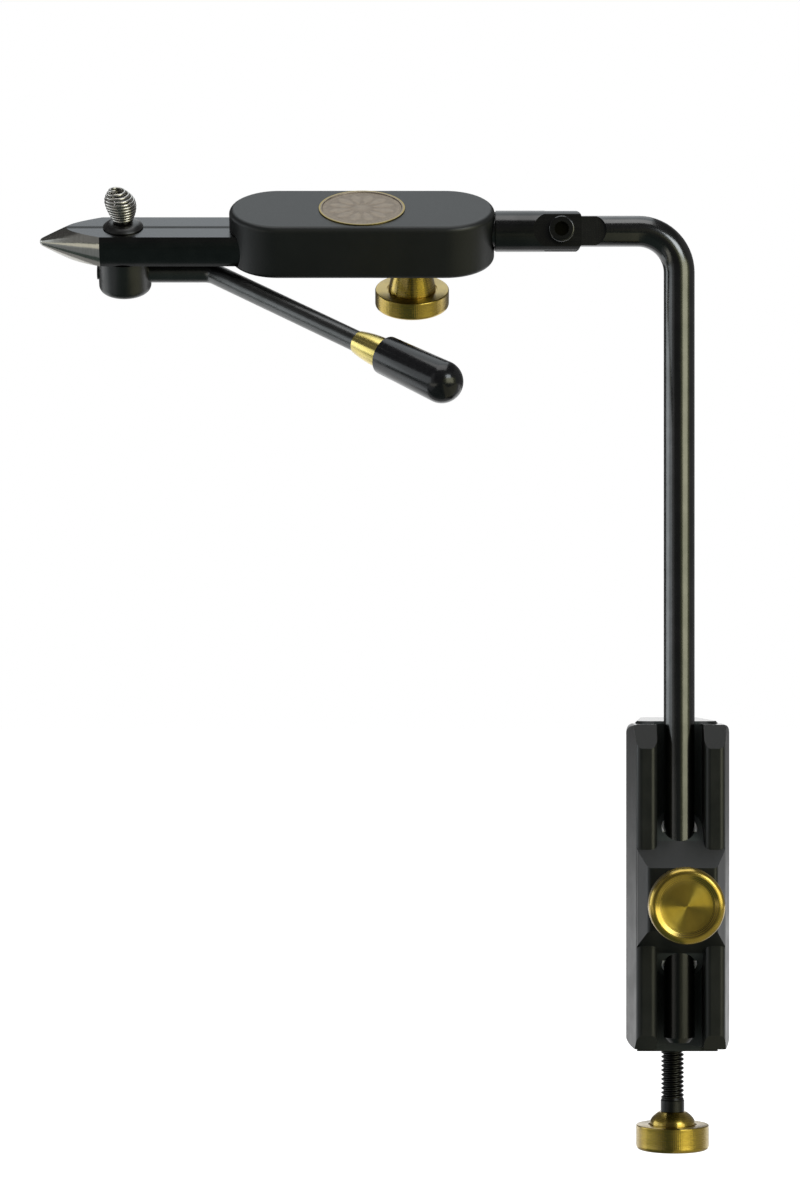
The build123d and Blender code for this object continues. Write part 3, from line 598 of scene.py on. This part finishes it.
OCHRE = (0.45, 0.31, 0.042)
STRAW = (0.76, 0.61, 0.17)
KNOB_RADIUS = 11.45
KNOB_BACK_ROUND = 0.35
RECESS_DEPTH = 0.5
RECESS_WALL = 1.1
RECESS_LIP = 0.1
RECESS_LIP_ROUND = (0.15, 0.06)
RECESS_FOOT_ROUND = (0.1, 0.04)
FACE_START, FACE_STEP = 1.0, 1.8
SIDE_INSET, SIDE_STEP = 0.3, 1.2
GROOVE_WIDTH, GROOVE_DEPTH, GROOVE_FLARE = 0.35, 0.3, 0.1
NECK_STEP_SHARE = 0.1
BEAD_STEPS, EDGE_STEPS = 8, 4
KNURL_TEETH = 120
KNURL_COLUMNS = 3 * KNURL_TEETH
KNURL_DEPTH = 0.064
KNURL_FACE_MARGIN, KNURL_BACK_MARGIN = 0.2, 0.5

COLLAR_FOOT = -109.0
STEM_KNOB_STANDOFF = 1.4
HEAD_KNOB_STANDOFF = 0.9
STEM_KNOB = {"rim": 6.4, "bead": 1.8, "neck": 10.6, "base": 7.2, "neck_top": 5.5, "swell": 2.0}
HEAD_KNOB = {"rim": 5.8, "bead": 1.2, "neck": 9.0, "base": 7.4, "neck_top": 4.9, "swell": 1.25}
SCREW_KNOB = {"rim": 7.8, "bead": 1.2, "neck": 4.0, "base": 7.2, "neck_top": 4.3, "swell": 2.2}


def knob_profile(rim, bead, neck, base, neck_top, swell):
    """From the middle of the dished face, over the rim, up the swelling neck to its end."""
    edge = KNOB_RADIUS - bead - RECESS_LIP
    wall_top = edge - RECESS_LIP_ROUND[0]
    wall_foot = wall_top - RECESS_WALL
    back = rim - KNOB_BACK_ROUND
    groove = rim - GROOVE_DEPTH
    face = evenly(FACE_START, wall_foot - RECESS_FOOT_ROUND[0], FACE_STEP)
    sides = evenly(bead + SIDE_INSET, back - SIDE_INSET, SIDE_STEP)
    profile = [(0.0, RECESS_DEPTH)] + [(radius, RECESS_DEPTH) for radius in face]
    profile.append((wall_foot, RECESS_DEPTH - RECESS_FOOT_ROUND[1]))
    profile += [(wall_top, RECESS_LIP_ROUND[1]), (edge, 0.0)]
    profile += arc((KNOB_RADIUS - bead, bead), bead, -90, 0, BEAD_STEPS)
    profile += [(KNOB_RADIUS, height) for height in sides]
    profile += arc((KNOB_RADIUS - KNOB_BACK_ROUND, back), KNOB_BACK_ROUND, 0, 90, EDGE_STEPS)
    profile += [(base + GROOVE_WIDTH + GROOVE_FLARE, rim), (base + GROOVE_WIDTH, groove), (base, groove)]
    for share in evenly(0.0, 1.0, NECK_STEP_SHARE):
        profile.append((base - (base - neck_top) * share ** swell, rim + neck * share))
    return profile + [(0.0, rim + neck)]


def knurl(rim, bead):
    """Fine teeth along the side of a rim."""
    low, high = bead + KNURL_FACE_MARGIN, rim - KNURL_BACK_MARGIN

    def relief(radius, height, angle):
        if radius < KNOB_RADIUS or not low < height < high:
            return 0.0, 0.0
        return KNURL_DEPTH * (math.cos(KNURL_TEETH * angle) - 1) / 2, 0.0

    return relief


def knob(node, neck_end, form, brass, body):
    """A knob that stands for its CAD node, hung by its neck's end from a frame."""
    foot = neck_end @ shifted(0.0, 0.0, -form["rim"] - form["neck"])
    teeth = knurl(form["rim"], form["bead"])
    made = lathe(node + "_turned", knob_profile(**form), foot, brass, KNURL_COLUMNS, teeth)
    return dress(made, body, "knob_brass", node)


stem_knob_end = STEM_LOCK @ shifted(0.0, 0.0, -STEM_KNOB_STANDOFF)
head_knob_end = HEAD_LOCK @ shifted(0.0, 0.0, -HEAD_KNOB_STANDOFF)
screw_knob_end = shifted(0.0, 0.0, COLLAR_FOOT)
knob("stem_lock_knob", stem_knob_end, STEM_KNOB, turned_brass("stem_knob_brass", OCHRE), "stem_lock")
knob("head_lock_knob", head_knob_end, HEAD_KNOB, turned_brass("head_knob_brass", OCHRE), "head_lock")
knob("clamp_screw_knob", screw_knob_end, SCREW_KNOB, turned_brass("screw_knob_brass", OCHRE), "clamp_screw")


# Threaded screws, in millimetres

INCH = 25.4
THREAD_DEPTH_SHARE = 0.5
CREST_SHARE, FLANK_SHARE = 0.22, 0.56
ROWS_PER_PITCH = 12
SCREW_COLUMNS = 40

SCREW_RADIUS = 3.57
SCREW_PITCH = INCH / 18
SHANK_RADIUS, SHANK_FOOT = 2.7, -118.9
COLLAR_RADIUS, COLLAR_TOP, COLLAR_EDGE = 3.75, -105.2, 0.2
SCREW_THREAD_FOOT, SCREW_THREAD_TOP = -105.1, -28.1
SCREW_END_RADIUS, SCREW_END = 2.9, -27.35
TIP_RADIUS, TIP_SIDE_END = 2.6, -23.2
TIP_FLAT_RADIUS, TIP_END = 2.1, -22.75

LOCK_RADIUS = 3.175
LOCK_PITCH = INCH / 20
LOCK_RUNOUT = 0.5
LOCK_BACK_RADIUS, LOCK_TIP_RADIUS = 2.8, 2.7
STEM_LOCK_SPAN = (-16.6, 6.0375)
HEAD_LOCK_SPAN = (-13.9, 2.9)


def thread(low, high, pitch):
    """A right-hand thread between two heights, which fades out over its last turn."""
    depth = pitch * THREAD_DEPTH_SHARE

    def relief(radius, height, angle):
        if not low < height < high:
            return 0.0, 0.0
        phase = (height / pitch - angle / TURN) % 1.0
        flank = min(max((abs(2 * phase - 1) - CREST_SHARE) / FLANK_SHARE, 0.0), 1.0)
        fade = min((height - low) / pitch, (high - height) / pitch, 1.0)
        return -depth * flank * fade, 0.0

    return relief


def thread_rows(radius, low, high, pitch):
    """The rows of points that a thread is cut into."""
    return [(radius, height) for height in evenly(low, high, pitch / ROWS_PER_PITCH)]


def clamp_screw():
    """Shank in the knob, plain collar, thread, and the tip that turns in the pad."""
    profile = [(0.0, SHANK_FOOT), (SHANK_RADIUS, SHANK_FOOT), (SHANK_RADIUS, COLLAR_FOOT)]
    profile += [(COLLAR_RADIUS - COLLAR_EDGE, COLLAR_FOOT), (COLLAR_RADIUS, COLLAR_FOOT + COLLAR_EDGE)]
    profile += [(COLLAR_RADIUS, COLLAR_TOP - COLLAR_EDGE), (COLLAR_RADIUS - COLLAR_EDGE, COLLAR_TOP)]
    profile += thread_rows(SCREW_RADIUS, SCREW_THREAD_FOOT, SCREW_THREAD_TOP, SCREW_PITCH)
    profile += [(SCREW_END_RADIUS, SCREW_END), (TIP_RADIUS, SCREW_END), (TIP_RADIUS, TIP_SIDE_END)]
    profile += [(TIP_FLAT_RADIUS, TIP_END), (0.0, TIP_END)]
    cut = thread(SCREW_THREAD_FOOT, SCREW_THREAD_TOP, SCREW_PITCH)
    made = lathe("clamp_screw_threaded", profile, ROW, steel_screw, SCREW_COLUMNS, cut)
    return dress(made, "clamp_screw", "black_steel", "clamp_screw")


def lock_screw(node, matrix, span, body):
    """A lock knob's stud, threaded from end to end."""
    low, high = span
    thread_low, thread_high = low + LOCK_RUNOUT, high - LOCK_RUNOUT
    profile = [(0.0, low), (LOCK_BACK_RADIUS, low)]
    profile += thread_rows(LOCK_RADIUS, thread_low, thread_high, LOCK_PITCH)
    profile += [(LOCK_TIP_RADIUS, high), (0.0, high)]
    cut = thread(thread_low, thread_high, LOCK_PITCH)
    made = lathe(node + "_threaded", profile, matrix, steel_along, SCREW_COLUMNS, cut)
    return dress(made, body, "black_steel", node)


clamp_screw()
lock_screw("stem_lock_screw", STEM_LOCK, STEM_LOCK_SPAN, "stem_lock")
lock_screw("head_lock_screw", HEAD_LOCK, HEAD_LOCK_SPAN, "head_lock")


# Ferrule and moulded grip on the lever, in millimetres

SMOOTH_COLUMNS = 96
LEVER_BORE = 3.2
FERRULE_START_RADIUS, FERRULE_END_RADIUS = 3.53, 4.55
FERRULE_BULGE = 0.35
FERRULE_STEP_SHARE = 0.1
GRIP_START_RADIUS, GRIP_END_RADIUS = 5.9, 6.4
GRIP_LENGTH = 29.3
GRIP_EDGE_ROUND = 0.35
GRIP_END_STEPS = 24


def ferrule():
    """A tapered brass ferrule with a slight bulge."""
    profile = [(LEVER_BORE, 0.0)]
    for share in evenly(0.0, 1.0, FERRULE_STEP_SHARE):
        taper = FERRULE_START_RADIUS + (FERRULE_END_RADIUS - FERRULE_START_RADIUS) * share
        bulge = 4 * FERRULE_BULGE * share * (1 - share)
        profile.append((taper + bulge, FERRULE_LENGTH * share))
    profile.append((LEVER_BORE, FERRULE_LENGTH))
    brass = turned_brass("ferrule_brass", STRAW)
    made = lathe("lever_ferrule_turned", profile, FERRULE, brass, SMOOTH_COLUMNS)
    return dress(made, "lever", "knob_brass", "lever_ferrule")


def grip():
    """A grip that widens to its round end."""
    profile = [(LEVER_BORE, 0.0)]
    middle = (GRIP_START_RADIUS - GRIP_EDGE_ROUND, GRIP_EDGE_ROUND)
    profile += arc(middle, GRIP_EDGE_ROUND, -90, 0, EDGE_STEPS)
    profile += arc((0.0, GRIP_LENGTH - GRIP_END_RADIUS), GRIP_END_RADIUS, 0, 90, GRIP_END_STEPS)[:-1]
    profile.append((0.0, GRIP_LENGTH))
    made = lathe("lever_grip_moulded", profile, GRIP, glossy_vinyl(), SMOOTH_COLUMNS)
    return dress(made, "lever", "grip_vinyl", "lever_grip")


ferrule()
grip()


# Thin thrust washer between the head and the knuckle's shoulder, in millimetres

WASHER_BORE, WASHER_RADIUS = 4.8, 6.05
WASHER_THICKNESS, WASHER_EDGE = 0.31, 0.1

washer_profile = [
    (WASHER_BORE, 0.0),
    (WASHER_RADIUS - WASHER_EDGE, 0.0),
    (WASHER_RADIUS, WASHER_EDGE),
    (WASHER_RADIUS, WASHER_THICKNESS - WASHER_EDGE),
    (WASHER_RADIUS - WASHER_EDGE, WASHER_THICKNESS),
    (WASHER_BORE, WASHER_THICKNESS),
    (WASHER_BORE, 0.0),
]
washer = lathe("thrust_washer", washer_profile, SHOULDER, steel_along, SMOOTH_COLUMNS)
dress(washer, "head", "black_steel")


# Medallion with a plain rosette in low relief, in millimetres above the head's axis

MEDALLION_COLUMNS = 240
MEDALLION_RADIUS, MEDALLION_FOOT = 13.3, 6.75
RIM_TOP, RIM_EDGE, RIM_INNER_RADIUS = 7.95, 0.1, 12.35
COVE_RADIUS, COVE_HEIGHT = 12.15, 7.72
FIELD_RADIUS, FIELD_HEIGHT = 12.0, 7.7
FIELD_INNER_RADIUS, FIELD_STEP = 0.4, 0.3
BOSS_RADIUS, BOSS_RISE = 2.6, 0.09
PETALS, PETAL_START, PETAL_END = 12, 3.2, 10.2
PETAL_RISE, PETAL_FULLNESS = 0.10, 0.7
BEADS, BEAD_START, BEAD_RING_RADIUS = 60, 10.7, 11.3
BEAD_HALF, BEAD_RISE = 0.6, 0.08


def rosette(radius, height, angle):
    """The rise of a boss, a ring of petals and a ring of beads."""
    if not FIELD_INNER_RADIUS <= radius <= FIELD_RADIUS:
        return 0.0, 0.0
    rise = 0.0
    if radius < BOSS_RADIUS:
        rise = BOSS_RISE * (1 - (radius / BOSS_RADIUS) ** 2)
    elif PETAL_START < radius < PETAL_END:
        across = abs((angle * PETALS / TURN) % 1.0 - 0.5) * 2
        along = (radius - PETAL_START) / (PETAL_END - PETAL_START)
        width = math.sin(math.pi * along) ** PETAL_FULLNESS
        if across < width:
            rise = PETAL_RISE * (1 - (across / width) ** 2)
    elif radius > BEAD_START:
        crown = 1 - ((radius - BEAD_RING_RADIUS) / BEAD_HALF) ** 2
        rise = BEAD_RISE * max(crown, 0.0) * (1 + math.cos(BEADS * angle)) / 2
    return 0.0, rise


medallion_profile = [
    (0.0, MEDALLION_FOOT),
    (MEDALLION_RADIUS, MEDALLION_FOOT),
    (MEDALLION_RADIUS, RIM_TOP - RIM_EDGE),
    (MEDALLION_RADIUS - RIM_EDGE, RIM_TOP),
    (RIM_INNER_RADIUS, RIM_TOP),
    (COVE_RADIUS, COVE_HEIGHT),
]
field = evenly(FIELD_RADIUS, FIELD_INNER_RADIUS, FIELD_STEP)
medallion_profile += [(radius, FIELD_HEIGHT) for radius in field] + [(0.0, FIELD_HEIGHT + BOSS_RISE)]
medallion = lathe("medallion_relief", medallion_profile, MEDALLION, aged_bronze(), MEDALLION_COLUMNS, rosette)
dress(medallion, "head", "aged_bronze", "medallion")


# Wound springs, in millimetres

STEPS_PER_TURN = 36
COIL_BASE, COIL_WAIST, COIL_TOP = 2.7, 4.4, 1.7
COIL_WAIST_SHARE = 0.58
COIL_FOOT, COIL_HEIGHT = 7.24, 10.1
COIL_TURNS = 10.75
COIL_WIRE = 0.42
COIL_LEAN = math.tan(math.radians(10.0))
JAW_SPRING_RADIUS, JAW_SPRING_HALF = 2.9, 3.7
JAW_SPRING_TURNS = 5
JAW_SPRING_WIRE = 0.45


def wound(frame_matrix, turns, place):
    """The path of a coil; place gives its point for an angle and a share of the whole."""
    count = round(turns * STEPS_PER_TURN)
    spots = [place(TURN * n / STEPS_PER_TURN, n / count) for n in range(count + 1)]
    return [frame_matrix @ (Vector(spot) * MM) for spot in spots]


def material_coil(angle, share):
    """A barrel-shaped coil that leans towards the jaws' tip."""
    if share < COIL_WAIST_SHARE:
        swell = math.sin(QUARTER * share / COIL_WAIST_SHARE)
        radius = COIL_BASE + (COIL_WAIST - COIL_BASE) * swell
    else:
        swell = math.cos(QUARTER * (share - COIL_WAIST_SHARE) / (1 - COIL_WAIST_SHARE))
        radius = COIL_TOP + (COIL_WAIST - COIL_TOP) * swell
    rise = COIL_HEIGHT * share
    lean = COIL_LEAN * rise * share
    return radius * math.cos(angle) - lean, radius * math.sin(angle), COIL_FOOT + rise


def jaw_coil(angle, share):
    """A straight coil across the head."""
    across = JAW_SPRING_HALF * (2 * share - 1)
    return JAW_SPRING_RADIUS * math.cos(angle), across, JAW_SPRING_RADIUS * math.sin(angle)


material_path = wound(CAM, COIL_TURNS, material_coil)
material_spring = tube("material_spring_wound", material_path, COIL_WIRE * MM, coil_steel)
dress(material_spring, "lever", "plain_steel", "material_spring")

jaw_path = wound(JAW_SPRING, JAW_SPRING_TURNS, jaw_coil)
jaw_spring = tube("jaw_spring_wound", jaw_path, JAW_SPRING_WIRE * MM, coil_steel)
dress(jaw_spring, "head", "plain_steel", "jaw_spring")
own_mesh(jaw_spring)


# Bright rubbed edges at the sides of the stem's bore, bare metal made near-white as painted glints, in
# millimetres

STEM_SETBACK = 28.0
BORE_EDGE_RADIUS, BORE_EDGE_WIRE = 5.12, 0.36
BORE_EDGE_BACK, BORE_EDGE_FRONT, BORE_EDGE_STEPS = -28.0, 16.0, 12
BORE_EDGE_SIDES = 10
BRIDGE_SLOPE = 0.772
BORE_EDGE_UPPER, BORE_EDGE_LOWER = -17.93, -59.67


def bore_glint_arc(name, level, slope, side):
    """A short arc of near-white wire along the bore's mouth, on one sloping face of the bridge: rubbed bare
    metal with a painted glint.
    """
    path = []
    for across, ahead in arc((0.0, 0.0), BORE_EDGE_RADIUS, BORE_EDGE_BACK, BORE_EDGE_FRONT, BORE_EDGE_STEPS):
        path.append(Vector((side * across, -STEM_SETBACK - ahead, level - slope * ahead)) * MM)
    made = tube(name, path, BORE_EDGE_WIRE * MM, rubbed_steel_painted_glint, BORE_EDGE_SIDES)
    return dress(made, "clamp", "plain_steel")


for side, word in ((-1, "left"), (1, "right")):
    bore_glint_arc("bore_glint_upper_" + word, BORE_EDGE_UPPER, BRIDGE_SLOPE, side)
    bore_glint_arc("bore_glint_lower_" + word, BORE_EDGE_LOWER, -BRIDGE_SLOPE, side)


# Floor and studio panels, in metres and degrees

FLOOR = -0.2
FLOOR_HALF = 6.0
FLOOR_DIFFUSE = 0.6
FLOOR_GLOW = 0.78
STUDIO_MIDDLE = Vector((-0.09, -0.03))
STUDIO_RADIUS = 2.4
WALL_STEP = 6.0


def seen_rays(tree):
    """1 for the rays of the camera, of mirrors and of glass."""
    rays = tree.nodes.new("ShaderNodeLightPath")
    total = rays.outputs["Is Camera Ray"]
    for name in ("Is Glossy Ray", "Is Transmission Ray"):
        either = tree.nodes.new("ShaderNodeMath")
        either.operation = "MAXIMUM"
        tree.links.new(total, either.inputs[0])
        tree.links.new(rays.outputs[name], either.inputs[1])
        total = either.outputs[0]
    return total


def scaled(tree, value, factor, start=0.0):
    """A value times a factor, added to a start."""
    made = tree.nodes.new("ShaderNodeMath")
    made.operation = "MULTIPLY_ADD"
    tree.links.new(value, made.inputs[0])
    made.inputs[1].default_value = factor
    made.inputs[2].default_value = start
    return made.outputs[0]


def bare_material(name):
    """A node material without its shader, and its node tree."""
    material = bpy.data.materials.new(name)
    material.use_nodes = True
    tree = material.node_tree
    tree.nodes.remove(tree.nodes["Principled BSDF"])
    return material, tree


def floor_white():
    """A pale floor that shows as white and keeps the object's shadow."""
    material, tree = bare_material("floor_white")
    pale = tree.nodes.new("ShaderNodeBsdfDiffuse")
    pale.inputs["Color"].default_value = opaque([FLOOR_DIFFUSE] * 3)
    white = tree.nodes.new("ShaderNodeEmission")
    tree.links.new(scaled(tree, seen_rays(tree), FLOOR_GLOW), white.inputs["Strength"])
    both = tree.nodes.new("ShaderNodeAddShader")
    tree.links.new(pale.outputs[0], both.inputs[0])
    tree.links.new(white.outputs[0], both.inputs[1])
    tree.links.new(both.outputs[0], tree.nodes["Material Output"].inputs["Surface"])
    return material


def panel(name, points, faces, color, strength):
    """A studio panel that the camera doesn't see; one named as a card shows only in mirrors."""
    material, tree = bare_material(name)
    glow = tree.nodes.new("ShaderNodeEmission")
    glow.inputs["Color"].default_value = opaque(color)
    glow.inputs["Strength"].default_value = strength
    tree.links.new(glow.outputs[0], tree.nodes["Material Output"].inputs["Surface"])
    made = mesh_object(name, points, faces, material)
    made.visible_camera = False
    made.visible_shadow = False
    made.visible_diffuse = not name.endswith("_card")


def wall(name, start, end, low, high, color, strength):
    """An upright panel round the object, its azimuths in degrees from the camera's side."""
    points, rings = [], []
    for azimuth in evenly(start, end, WALL_STEP):
        x = STUDIO_MIDDLE.x + STUDIO_RADIUS * math.sin(math.radians(azimuth))
        y = STUDIO_MIDDLE.y - STUDIO_RADIUS * math.cos(math.radians(azimuth))
        rings.append((len(points), len(points) + 1))
        points += [(x, y, low), (x, y, high)]
    panel(name, points, ring_faces(rings, False), color, strength)


def level_square(low, high, z):
    """The corners and the face of a level rectangle between two corners."""
    (left, near), (right, far) = low, high
    return [(left, near, z), (right, near, z), (right, far, z), (left, far, z)], [(0, 1, 2, 3)]


corners, faces = level_square((-FLOOR_HALF, -FLOOR_HALF), (FLOOR_HALF, FLOOR_HALF), FLOOR)
floor = mesh_object("floor", corners, faces, floor_white())

NEUTRAL = (1.0, 1.0, 1.0)
COOL = (0.91, 0.97, 1.0)
OLIVE = (1.0, 0.99, 0.70)
MOSS = (0.95, 1.0, 0.55)
SEA = (0.75, 1.0, 0.92)
SAND = (1.0, 0.98, 0.86)
LEFT_TOP, RIGHT_TOP, RIGHT_UPPER_TOP, LAMP_HEIGHT, TOP = 0.9, 0.8, 1.6, 1.4, 2.2
CARD_HEIGHT = FLOOR + 0.005
EDGE = STUDIO_RADIUS

# Name, first and last azimuth, lower and upper edge, colour, strength
WALLS = (
    ("left_light", -119, -84, FLOOR, LEFT_TOP, COOL, 2.2),
    ("left_near_light", -84, -58, FLOOR, LEFT_TOP, COOL, 1.2),
    ("left_card", -119, -58, LEFT_TOP, TOP, NEUTRAL, 0.1),
    ("left_back_card", -172, -119, FLOOR, TOP, NEUTRAL, 0.12),
    ("front_left_card", -58, -40, FLOOR, TOP, NEUTRAL, 0.3),
    ("front_card", -40, 10, FLOOR, TOP, NEUTRAL, 0.08),
    ("right_near_light", 10, 24, FLOOR, RIGHT_TOP, MOSS, 0.4),
    ("right_light", 24, 62, FLOOR, RIGHT_TOP, OLIVE, 3.0),
    ("right_upper_light", 24, 50, RIGHT_TOP, RIGHT_UPPER_TOP, COOL, 6.5),
    ("right_far_light", 62, 76, FLOOR, RIGHT_TOP, MOSS, 0.5),
    ("right_upper_card", 10, 24, RIGHT_TOP, RIGHT_UPPER_TOP, NEUTRAL, 0.1),
    ("right_upper_far_card", 50, 76, RIGHT_TOP, RIGHT_UPPER_TOP, NEUTRAL, 0.1),
    ("right_card", 10, 76, RIGHT_UPPER_TOP, TOP, NEUTRAL, 0.1),
    ("right_back_card", 76, 172, FLOOR, TOP, NEUTRAL, 0.2),
)
# Name, lower and upper corner, height, colour, strength
SHEETS = (
    ("top_light", (-0.6, -0.75), (0.4, 0.05), LAMP_HEIGHT, NEUTRAL, 2.1),
    ("top_back_light", (-0.6, 0.05), (0.4, 1.6), LAMP_HEIGHT, COOL, 1.3),
    ("top_card", (-EDGE, -EDGE), (EDGE, EDGE), TOP, NEUTRAL, 0.1),
    ("floor_back_card", (-0.55, 0.04), (EDGE, 0.25), CARD_HEIGHT, NEUTRAL, 0.42),
    ("floor_back_left_card", (-0.9, 0.04), (-0.55, 0.25), CARD_HEIGHT, COOL, 1.6),
    ("floor_left_card", (-1.15, -0.5), (-0.75, 0.04), CARD_HEIGHT, COOL, 0.5),
    ("floor_near_left_card", (-0.75, -0.5), (-0.42, -0.1), CARD_HEIGHT, COOL, 0.35),
    ("floor_inner_left_card", (-0.75, -0.1), (-0.42, 0.04), CARD_HEIGHT, SEA, 0.1),
    ("floor_outer_left_card", (-EDGE, -0.5), (-1.15, 0.25), CARD_HEIGHT, SEA, 0.12),
    ("floor_middle_card", (-0.42, -0.5), (0.0, 0.04), CARD_HEIGHT, SEA, 0.11),
    ("floor_right_card", (0.0, -1.2), (0.2, 0.04), CARD_HEIGHT, OLIVE, 0.38),
    ("floor_far_right_card", (0.2, -0.5), (EDGE, 0.04), CARD_HEIGHT, OLIVE, 0.5),
    ("floor_warm_card", (-1.7, -1.2), (-0.5, -0.5), CARD_HEIGHT, SAND, 1.15),
    ("floor_front_card", (-0.5, -EDGE), (0.0, -0.5), CARD_HEIGHT, SEA, 0.08),
    ("floor_near_card", (-EDGE, -EDGE), (-0.5, -1.2), CARD_HEIGHT, SEA, 0.08),
    ("floor_near_right_card", (0.0, -EDGE), (EDGE, -1.2), CARD_HEIGHT, SEA, 0.08),
    ("floor_side_card", (0.2, -1.2), (EDGE, -0.5), CARD_HEIGHT, SEA, 0.08),
    ("floor_edge_card", (-EDGE, -1.2), (-1.7, -0.5), CARD_HEIGHT, SEA, 0.3),
)
for row in WALLS:
    wall(*row)
for name, low, high, height, color, strength in SHEETS:
    corners, faces = level_square(low, high, height)
    panel(name, corners, faces, color, strength)


# World and camera

WORLD_DIFFUSE = 0.5
CAMERA_PLACE = Vector((-85.9, -1166.5, 52.4)) * MM
FOCAL_PIXELS, IMAGE_HEIGHT = 3700.0, 1199.0
SENSOR_HEIGHT = 36.0
VIEW_END = 50.0

world = bpy.data.worlds.new("studio")
bpy.context.scene.world = world
world.use_nodes = True
sky = world.node_tree
background = sky.nodes["Background"]
background.inputs["Color"].default_value = opaque(NEUTRAL)
brightness = scaled(sky, seen_rays(sky), 1.0 - WORLD_DIFFUSE, WORLD_DIFFUSE)
sky.links.new(brightness, background.inputs["Strength"])

camera_data = bpy.data.cameras.new("camera")
camera = bpy.data.objects.new("camera", camera_data)
bpy.context.scene.collection.objects.link(camera)
camera.location = CAMERA_PLACE
camera.rotation_euler = (QUARTER, 0.0, 0.0)
camera_data.sensor_fit = "VERTICAL"
camera_data.sensor_height = SENSOR_HEIGHT
camera_data.lens = FOCAL_PIXELS * SENSOR_HEIGHT / IMAGE_HEIGHT
camera_data.clip_end = VIEW_END
bpy.context.scene.camera = camera
bpy.context.scene.view_settings.view_transform = "Standard"
